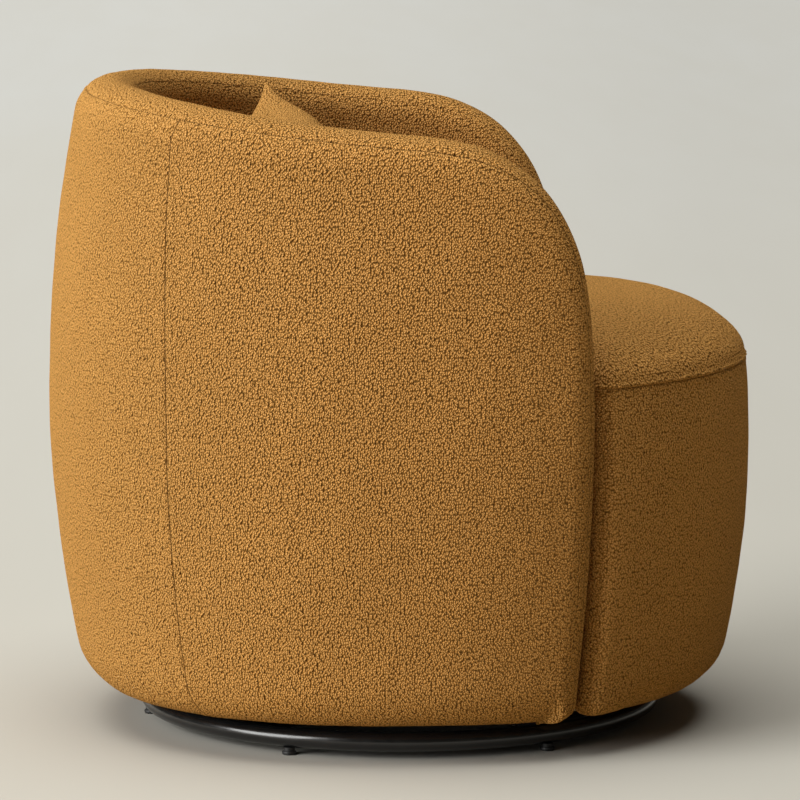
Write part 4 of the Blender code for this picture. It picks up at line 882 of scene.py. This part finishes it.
def dust_cloth(name):
    """Thin black cloth stretched under the base board, with a round hole for the swivel."""
    low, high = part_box("dust_cover")
    middle = (low.z + high.z) / 2
    inset = shell_point(math.pi / 2, middle, 0.0)[0] - high.x
    back = shell_point(np.linspace(0.0, math.pi / 2, 41)[:-1], middle, inset)
    front = drum_point(np.linspace(math.pi / 2, math.pi, 41), middle, inset)
    share = np.linspace(0.0, 1.0, 41)
    front[:, 0] *= (high.x * (1.0 - share) + front[0, 0] * share) / front[0, 0]
    outline = looped(joined(back, front))
    turn = np.arctan2(outline[:, 1], outline[:, 0])
    hole = np.stack([DUST_HOLE * np.cos(turn), DUST_HOLE * np.sin(turn), outline[:, 2]], -1)
    rows = []
    for along in np.linspace(0.0, 1.0, 13):
        row = outline * (1.0 - along) + hole * along
        row[:, 2] -= 0.0012 * math.sin(math.pi * along) * (1.0 + 0.4 * np.sin(9.0 * turn))
        rows.append(row)
    top = np.concatenate(rows)
    columns, count = len(outline), len(top)
    last = count - columns
    faces = strips(len(rows), columns)
    faces += [[i + count for i in reversed(face)] for face in faces]
    faces += strip(0, count, columns) + strip(last, count + last, columns)
    points = joined(top, top - np.array([0.0, 0.0, DUST_CLOTH_THICKNESS]))
    made = finish_piece(name, new_mesh(name, points, faces, recalculated=True), "chair")
    return made


# Base ring and glides

RING_LIFT = 0.0025


def circle(sides, radius=1.0):
    return [(radius * math.cos(2 * math.pi * i / sides), radius * math.sin(2 * math.pi * i / sides))
            for i in range(sides)]


def lathe_piece(name, profile, sides, centre, closed):
    """A part of the base, from a profile of (radius, height) turned round an upright axis."""
    points, faces, rings = [], [], []
    for radius, height in profile:
        if radius < 1e-6:
            rings.append([len(points)] * sides)
            points.append((*centre, height))
        else:
            rings.append(list(range(len(points), len(points) + sides)))
            points += [(centre[0] + x, centre[1] + y, height) for x, y in circle(sides, radius)]
    for here, there in zip(rings, rings[1:] + rings[:1] if closed else rings[1:]):
        for i in range(sides):
            j = (i + 1) % sides
            face = list(dict.fromkeys([here[i], here[j], there[j], there[i]]))
            if len(face) > 2:
                faces.append(face)
    mesh = new_mesh(name, points, faces, recalculated=True)
    mesh.set_sharp_from_angle(angle=math.radians(35.0))
    return finish_piece(name, mesh, "base")


def base_ring(name):
    low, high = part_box("base_ring")
    tube = (high.z - low.z) / 2
    centre_z = (high.z + low.z) / 2 + RING_LIFT
    profile = [(high.x - tube + x, centre_z + z) for x, z in circle(40, tube)]
    return lathe_piece(name, profile, 240, (0.0, 0.0), True)


def glide(name, node):
    low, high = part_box(node)
    centre = ((low.x + high.x) / 2, (low.y + high.y) / 2)
    radius, top = (high.x - low.x) / 2, high.z + RING_LIFT
    profile = [(0.0, 0.0), (radius * 0.80, 0.0), (radius * 0.90, 0.0003), (radius * 0.97, 0.0009),
               (radius, 0.0018), (radius, 0.0036), (radius * 0.96, 0.0041), (radius * 0.80, 0.0044),
               (radius * 0.80, top), (0.0, top)]
    return lathe_piece(name, profile, 40, centre, False)


# Materials

class Nodes:
    """Short calls to lay out a material's node tree."""

    def __init__(self, name):
        self.material = bpy.data.materials.new(name)
        self.material.use_nodes = True
        self.tree = self.material.node_tree
        self.shader = self.tree.nodes["Principled BSDF"]
        self.place = self.tree.nodes.new("ShaderNodeTexCoord").outputs["Object"]

    def add(self, kind, inputs=(), **settings):
        node = self.tree.nodes.new(kind)
        for key, value in settings.items():
            setattr(node, key, value)
        for key, value in dict(inputs).items():
            self.feed(value, node.inputs[key])
        return node

    def feed(self, value, socket):
        """Sets a socket's value, or links it to another node's output."""
        if isinstance(value, bpy.types.NodeSocket):
            self.tree.links.new(value, socket)
        else:
            socket.default_value = value

    def math(self, operation, a, b=0.0):
        return self.add("ShaderNodeMath", {0: a, 1: b}, operation=operation).outputs[0]

    def times(self, a, b):
        return self.math("MULTIPLY", a, b)

    def scaled(self, a, scale):
        return self.add("ShaderNodeVectorMath", {0: a, "Scale": scale}, operation="SCALE").outputs[0]

    def sum(self, a, b):
        return self.add("ShaderNodeVectorMath", {0: a, 1: b}, operation="ADD").outputs[0]

    def parts(self, value):
        return self.add("ShaderNodeSeparateXYZ", {0: value}).outputs

    def grey(self, value):
        return self.add("ShaderNodeCombineXYZ", {0: value, 1: value, 2: value}).outputs[0]

    def noise(self, scale, detail=2.0, distortion=0.0, place=None):
        inputs = {"Vector": place or self.place, "Scale": scale, "Detail": detail, "Distortion": distortion}
        return self.add("ShaderNodeTexNoise", inputs).outputs["Fac"]

    def stretched(self, factors, place=None):
        return self.add("ShaderNodeMapping", {"Vector": place or self.place, "Scale": factors}).outputs[0]

    def ramp(self, value, stops):
        node = self.add("ShaderNodeValToRGB", {"Fac": value})
        elements = node.color_ramp.elements
        while len(elements) < len(stops):
            elements.new(0.5)
        for element, (position, colour) in zip(elements, stops):
            element.position = position
            element.color = (*colour, 1.0)
        return node.outputs["Color"]

    def span(self, value, low, high, to_low=0.0, to_high=1.0):
        return self.add("ShaderNodeMapRange", {"Value": value, "From Min": low, "From Max": high,
                                               "To Min": to_low, "To Max": to_high}).outputs["Result"]

    def mix(self, share, a, b, blend="MIX"):
        a, b = [(*value, 1.0) if isinstance(value, tuple) else value for value in (a, b)]
        return self.add("ShaderNodeMix", {0: share, 6: a, 7: b}, data_type="RGBA", blend_type=blend).outputs[2]

    def give(self, value, name):
        self.feed(value, self.shader.inputs[name])

    def bump(self, height, distance, strength=1.0):
        node = self.add("ShaderNodeBump", {"Height": height, "Distance": distance, "Strength": strength})
        self.give(node.outputs["Normal"], "Normal")


def cloth_place(m):
    """Place along the cloth's own two directions, from where a point is and the way it faces."""
    facing = m.parts(m.add("ShaderNodeTexCoord").outputs["Normal"])
    at = m.parts(m.place)
    wobble = m.math("SUBTRACT", m.noise(70.0, 1.0), 0.5)
    heading = m.math("ADD", m.math("ARCTAN2", facing[0], facing[1]), m.times(wobble, 0.6))
    sector = math.pi / 6
    heading = m.times(m.math("ROUND", m.math("DIVIDE", heading, sector)), sector)
    round_it = m.math("SUBTRACT", m.times(at[0], m.math("COSINE", heading)),
                      m.times(at[1], m.math("SINE", heading)))
    upright = m.add("ShaderNodeCombineXYZ", {0: round_it, 1: at[2]}).outputs[0]
    steep = m.math("ADD", m.math("ABSOLUTE", facing[2]), m.times(wobble, 0.3))
    flat = m.math("GREATER_THAN", steep, 0.72)
    return m.sum(m.scaled(m.place, flat), m.scaled(upright, m.math("SUBTRACT", 1.0, flat)))


def boucle():
    """Looped wool: small round curls over gaps of painted shade, with a little sheen, slow changes of tone and
    painted shade along the seams.
    """
    m = Nodes("ochre_boucle")
    drift = m.add("ShaderNodeTexNoise", {"Vector": m.place, "Scale": 260.0, "Detail": 1.0}).outputs["Color"]
    bent = m.sum(cloth_place(m), m.scaled(drift, 0.0019))
    tall = m.stretched((1.0, 0.85, 1.0), bent)

    def cells(scale, randomness):
        return m.add("ShaderNodeTexVoronoi", {"Vector": tall, "Scale": scale, "Randomness": randomness},
                     feature="F1", voronoi_dimensions="2D").outputs["Distance"]

    large, small = cells(430.0, 0.88), cells(820.0, 0.9)
    curl = m.math("ADD", m.times(large, 0.80), m.times(small, 0.20))
    height = m.math("SUBTRACT", 1.0, m.times(m.times(curl, curl), 2.0))
    # The ramp's dark end is painted shade in the gaps between the curls.
    shade = m.ramp(m.span(curl, 0.74, 0.08), [(0.0, (0.090, 0.026, 0.0020)), (0.42, (0.465, 0.199, 0.0395)),
                                              (1.0, (0.940, 0.512, 0.172))])
    slow = m.span(m.noise(5.0, 3.0), 0.3, 0.7, 0.95, 1.04)
    # Painted shade along the seams: the colour falls to about half near a seam, with a ragged edge from the
    # curls.
    seam = m.add("ShaderNodeAttribute", attribute_name="seam").outputs["Fac"]
    ragged = m.math("ADD", seam, m.times(m.math("SUBTRACT", 0.35, curl), 0.0012))
    near = m.span(ragged, 0.0, 0.0012, 0.52, 1.0)
    m.give(m.mix(1.0, shade, m.grey(m.times(slow, near)), "MULTIPLY"), "Base Color")
    m.give(m.span(height, 0.2, 1.0, 0.98, 0.88), "Roughness")
    m.give(0.60, "Sheen Weight")
    m.give(0.45, "Sheen Roughness")
    m.give((1.0, 0.56, 0.15, 1.0), "Sheen Tint")
    m.give(0.08, "Specular IOR Level")
    m.bump(height, 0.0040, 1.0)
    return m.material


def black_steel():
    """Satin black powder coat: a fine orange peel and faint dust."""
    m = Nodes("black_steel")
    peel = m.noise(900.0, 2.0)
    dust = m.noise(60.0, 4.0)
    dusty = m.span(dust, 0.45, 0.75, 0.0, 0.5)
    m.give(m.mix(dusty, (0.0075, 0.0075, 0.0080), (0.016, 0.0155, 0.015)), "Base Color")
    m.give(m.span(dust, 0.3, 0.75, 0.19, 0.27), "Roughness")
    m.give(0.65, "Specular IOR Level")
    m.bump(peel, 0.0002, 0.2)
    return m.material


def zinc_steel():
    m = Nodes("zinc_steel")
    brushed = m.noise(45.0, 4.0, 0.0, m.stretched((1.0, 14.0, 1.0)))
    spangle = m.add("ShaderNodeTexVoronoi", {"Vector": m.place, "Scale": 120.0}).outputs["Color"]
    grey = m.add("ShaderNodeRGBToBW", {0: spangle}).outputs[0]
    m.give(m.mix(m.span(grey, 0.2, 0.8, 0.1, 0.6), (0.34, 0.34, 0.33), (0.52, 0.52, 0.50)), "Base Color")
    m.give(1.0, "Metallic")
    m.give(m.span(brushed, 0.3, 0.7, 0.28, 0.48), "Roughness")
    m.bump(brushed, 0.0002, 0.25)
    return m.material


def black_nylon():
    m = Nodes("black_nylon")
    grain = m.noise(1400.0, 2.0)
    scuff = m.noise(220.0, 3.0)
    m.give(m.mix(m.span(scuff, 0.55, 0.75), (0.010, 0.010, 0.010), (0.030, 0.029, 0.028)), "Base Color")
    m.give(m.span(scuff, 0.3, 0.7, 0.45, 0.65), "Roughness")
    m.bump(grain, 0.0001, 0.4)
    return m.material


def black_cloth():
    """Spun dust cloth: fine dark fibres pressed flat."""
    m = Nodes("black_cloth")
    fibres = m.noise(420.0, 4.0, 1.2)
    dots = m.add("ShaderNodeTexVoronoi", {"Vector": m.place, "Scale": 550.0}).outputs["Distance"]
    m.give(m.mix(m.span(fibres, 0.35, 0.7), (0.006, 0.006, 0.006), (0.020, 0.020, 0.020)), "Base Color")
    m.give(0.95, "Roughness")
    m.bump(m.math("ADD", fibres, m.times(dots, 0.5)), 0.0004, 0.6)
    return m.material


def birch_ply():
    m = Nodes("birch_ply")
    grain = m.noise(14.0, 5.0, 0.6, m.stretched((1.0, 12.0, 1.0)))
    layers = m.add("ShaderNodeTexWave", {"Vector": m.place, "Scale": 52.0, "Distortion": 0.4, "Detail": 1.0},
                   wave_type="BANDS", bands_direction="Z").outputs["Fac"]
    wood = m.mix(m.span(grain, 0.3, 0.7), (0.60, 0.43, 0.25), (0.46, 0.30, 0.155))
    wood = m.mix(m.span(layers, 0.1, 0.3, 0.35, 0.0), wood, (0.26, 0.15, 0.075))
    m.give(wood, "Base Color")
    m.give(m.span(grain, 0.3, 0.7, 0.5, 0.68), "Roughness")
    m.bump(grain, 0.0004, 0.3)
    return m.material


def jute_web():
    m = Nodes("jute_web")
    weave = m.math("MAXIMUM", *[
        m.add("ShaderNodeTexWave", {"Vector": m.place, "Scale": 110.0, "Distortion": 0.6},
              wave_type="BANDS", bands_direction=axis).outputs["Fac"] for axis in "XY"])
    slub = m.noise(160.0, 3.0)
    m.give(m.mix(m.span(slub, 0.3, 0.7), (0.36, 0.26, 0.13), (0.22, 0.15, 0.07)), "Base Color")
    m.give(0.9, "Roughness")
    m.bump(m.math("ADD", weave, slub), 0.0008, 0.7)
    return m.material


def floor_material():
    """Pale plaster-like floor, a little cooler and greyer far behind the chair, with painted shade darkening
    it towards the right.
    """
    m = Nodes("studio_floor")
    cloudy = m.noise(1.1, 3.0, 0.3, m.stretched((0.15, 1.0, 1.0)))
    fine = m.noise(9.0, 4.0, 0.0, m.stretched((0.15, 1.0, 1.0)))
    at = m.parts(m.place)
    behind = m.span(at["X"], -2.0, 9.0)
    pale = m.mix(behind, (0.494, 0.479, 0.428), (0.500, 0.508, 0.496))
    pale = m.mix(m.span(cloudy, 0.3, 0.7, 0.0, 0.35), pale, (0.468, 0.455, 0.408))
    pale = m.mix(m.span(fine, 0.3, 0.7, 0.0, 0.10), pale, (0.441, 0.427, 0.384))
    # Painted shade: the floor darkens towards the right (-Y), away from the key lamp.
    side = m.math("DIVIDE", at["Y"], m.math("MAXIMUM", m.math("ADD", at["X"], 6.5), 4.0))
    pale = m.mix(1.0, pale, m.grey(m.span(side, 0.02, -0.07, 1.0, 0.87)), "MULTIPLY")
    path = m.add("ShaderNodeLightPath").outputs
    mirrored = m.math("MAXIMUM", path["Is Glossy Ray"], path["Is Transmission Ray"])
    seen = m.math("MAXIMUM", path["Is Camera Ray"], mirrored)
    bounced = m.mix(1.0, pale, (0.80, 0.68, 0.48), "MULTIPLY")
    m.give(m.mix(seen, bounced, pale), "Base Color")
    m.give(0.85, "Roughness")
    m.give(0.1, "Specular IOR Level")
    m.bump(fine, 0.0015, 0.15)
    return m.material


# Camera, light and floor

CAMERA_DISTANCE = 6.2
CAMERA_HEIGHT = 1.22
CAMERA_SIDE = math.radians(1.7)
CAMERA_PITCH = math.radians(7.85)
PICTURE_WIDTH = 800.0 / 869.0
SENSOR = 36.0
FLOOR_REACH = 60.0


def camera():
    """The photograph's viewpoint. The picture is PICTURE_WIDTH metres wide at the chair's axis."""
    data = bpy.data.cameras.new("camera")
    made = placed("camera", data)
    towards = Vector((math.cos(CAMERA_SIDE), -math.sin(CAMERA_SIDE), 0.0))
    made.location = towards * -CAMERA_DISTANCE + Vector((0.0, 0.0, CAMERA_HEIGHT))
    ahead = towards * math.cos(CAMERA_PITCH) - Vector((0.0, 0.0, math.sin(CAMERA_PITCH)))
    made.rotation_euler = ahead.to_track_quat("-Z", "Y").to_euler()
    data.sensor_width = SENSOR
    data.lens = CAMERA_DISTANCE * SENSOR / PICTURE_WIDTH
    data.clip_end = 200.0
    bpy.context.scene.camera = made


def lamp(name, energy, width, colour, source):
    """A far light, some degrees broad, from a given direction."""
    light = bpy.data.lights.new(name, "SUN")
    light.energy = energy
    light.angle = math.radians(width)
    light.color = colour
    placed(name, light).rotation_euler = source.to_track_quat("Z", "Y").to_euler()


def studio():
    scene = bpy.context.scene
    scene.view_settings.view_transform = "Standard"
    world = bpy.data.worlds.new("studio")
    world.use_nodes = True
    background = world.node_tree.nodes["Background"]
    background.inputs["Color"].default_value = (1.0, 0.90, 0.72, 1.0)
    background.inputs["Strength"].default_value = 0.05
    scene.world = world
    lamp("key", 4.00, 42.0, (1.0, 0.992, 0.970), Vector((-0.435, 0.833, 0.342)))
    lamp("overhead", 2.85, 58.0, (1.0, 0.978, 0.925), Vector((-0.02, 0.08, 0.997)))
    corners = [(-1.0, -1.0, 0.0), (1.0, -1.0, 0.0), (1.0, 1.0, 0.0), (-1.0, 1.0, 0.0)]
    mesh = new_mesh("studio_floor", np.array(corners) * FLOOR_REACH, [(0, 1, 2, 3)])
    mesh.materials.append(floor_material())
    placed("studio_floor", mesh)


def dressed(piece, looks, slot, *nodes):
    """Gives a piece its material, and hides the model's parts in whose place it stands."""
    piece.data.materials.append(looks[slot])
    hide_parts(*nodes)


CARRIED_OVER = {"black_steel": ("base_spoke_",), "jute_web": ("seat_webbing",),
                "birch_ply": ("shell_former", "seat_front_panel", "seat_side_rail", "seat_rear_rail",
                              "base_board"),
                "zinc_steel": ("swivel_", "ball_cage", "plate_bolt", "plate_screw")}


def main():
    camera()
    studio()
    looks = {"ochre_boucle": boucle(), "birch_ply": birch_ply(), "jute_web": jute_web(),
             "black_steel": black_steel(), "black_nylon": black_nylon(), "zinc_steel": zinc_steel(),
             "black_cloth": black_cloth()}
    soft = [
        (back_panel("back_panel"), 0.9, "outer_back_cover", "outer_foam"),
        (side_panel("side_panel_left", -1.0), 0.9, "outer_side_cover_left"),
        (side_panel("side_panel_right", 1.0), 0.9, "outer_side_cover_right"),
        (rim_roll("rim_roll"), 0.9, "rim_band", "rim_foam"),
        (tub_lining("tub_lining"), 0.85, "inner_cover", "inner_foam"),
        (seat_band("seat_band"), 0.9, "seat_band_cover", "seat_band_foam"),
        (seat_cushion("seat_cushion"), 0.8, "seat_top_cover", "seat_foam"),
        (pillow_form("loose_pillow"), 0.6, "pillow"),
    ]
    for piece, fill, *nodes in soft:
        dressed(piece, looks, "ochre_boucle", *nodes)
    dressed(base_ring("floor_ring"), looks, "black_steel", "base_ring")
    for number in range(1, 7):
        dressed(glide(f"foot_{number}", f"glide_{number}"), looks, "black_nylon", f"glide_{number}")
    dressed(dust_cloth("dust_cloth"), looks, "black_cloth", "dust_cover")
    for name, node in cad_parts.items():
        for look, starts in CARRIED_OVER.items():
            if name.startswith(starts):
                for slot in node.material_slots:
                    slot.material = looks[look]


main()
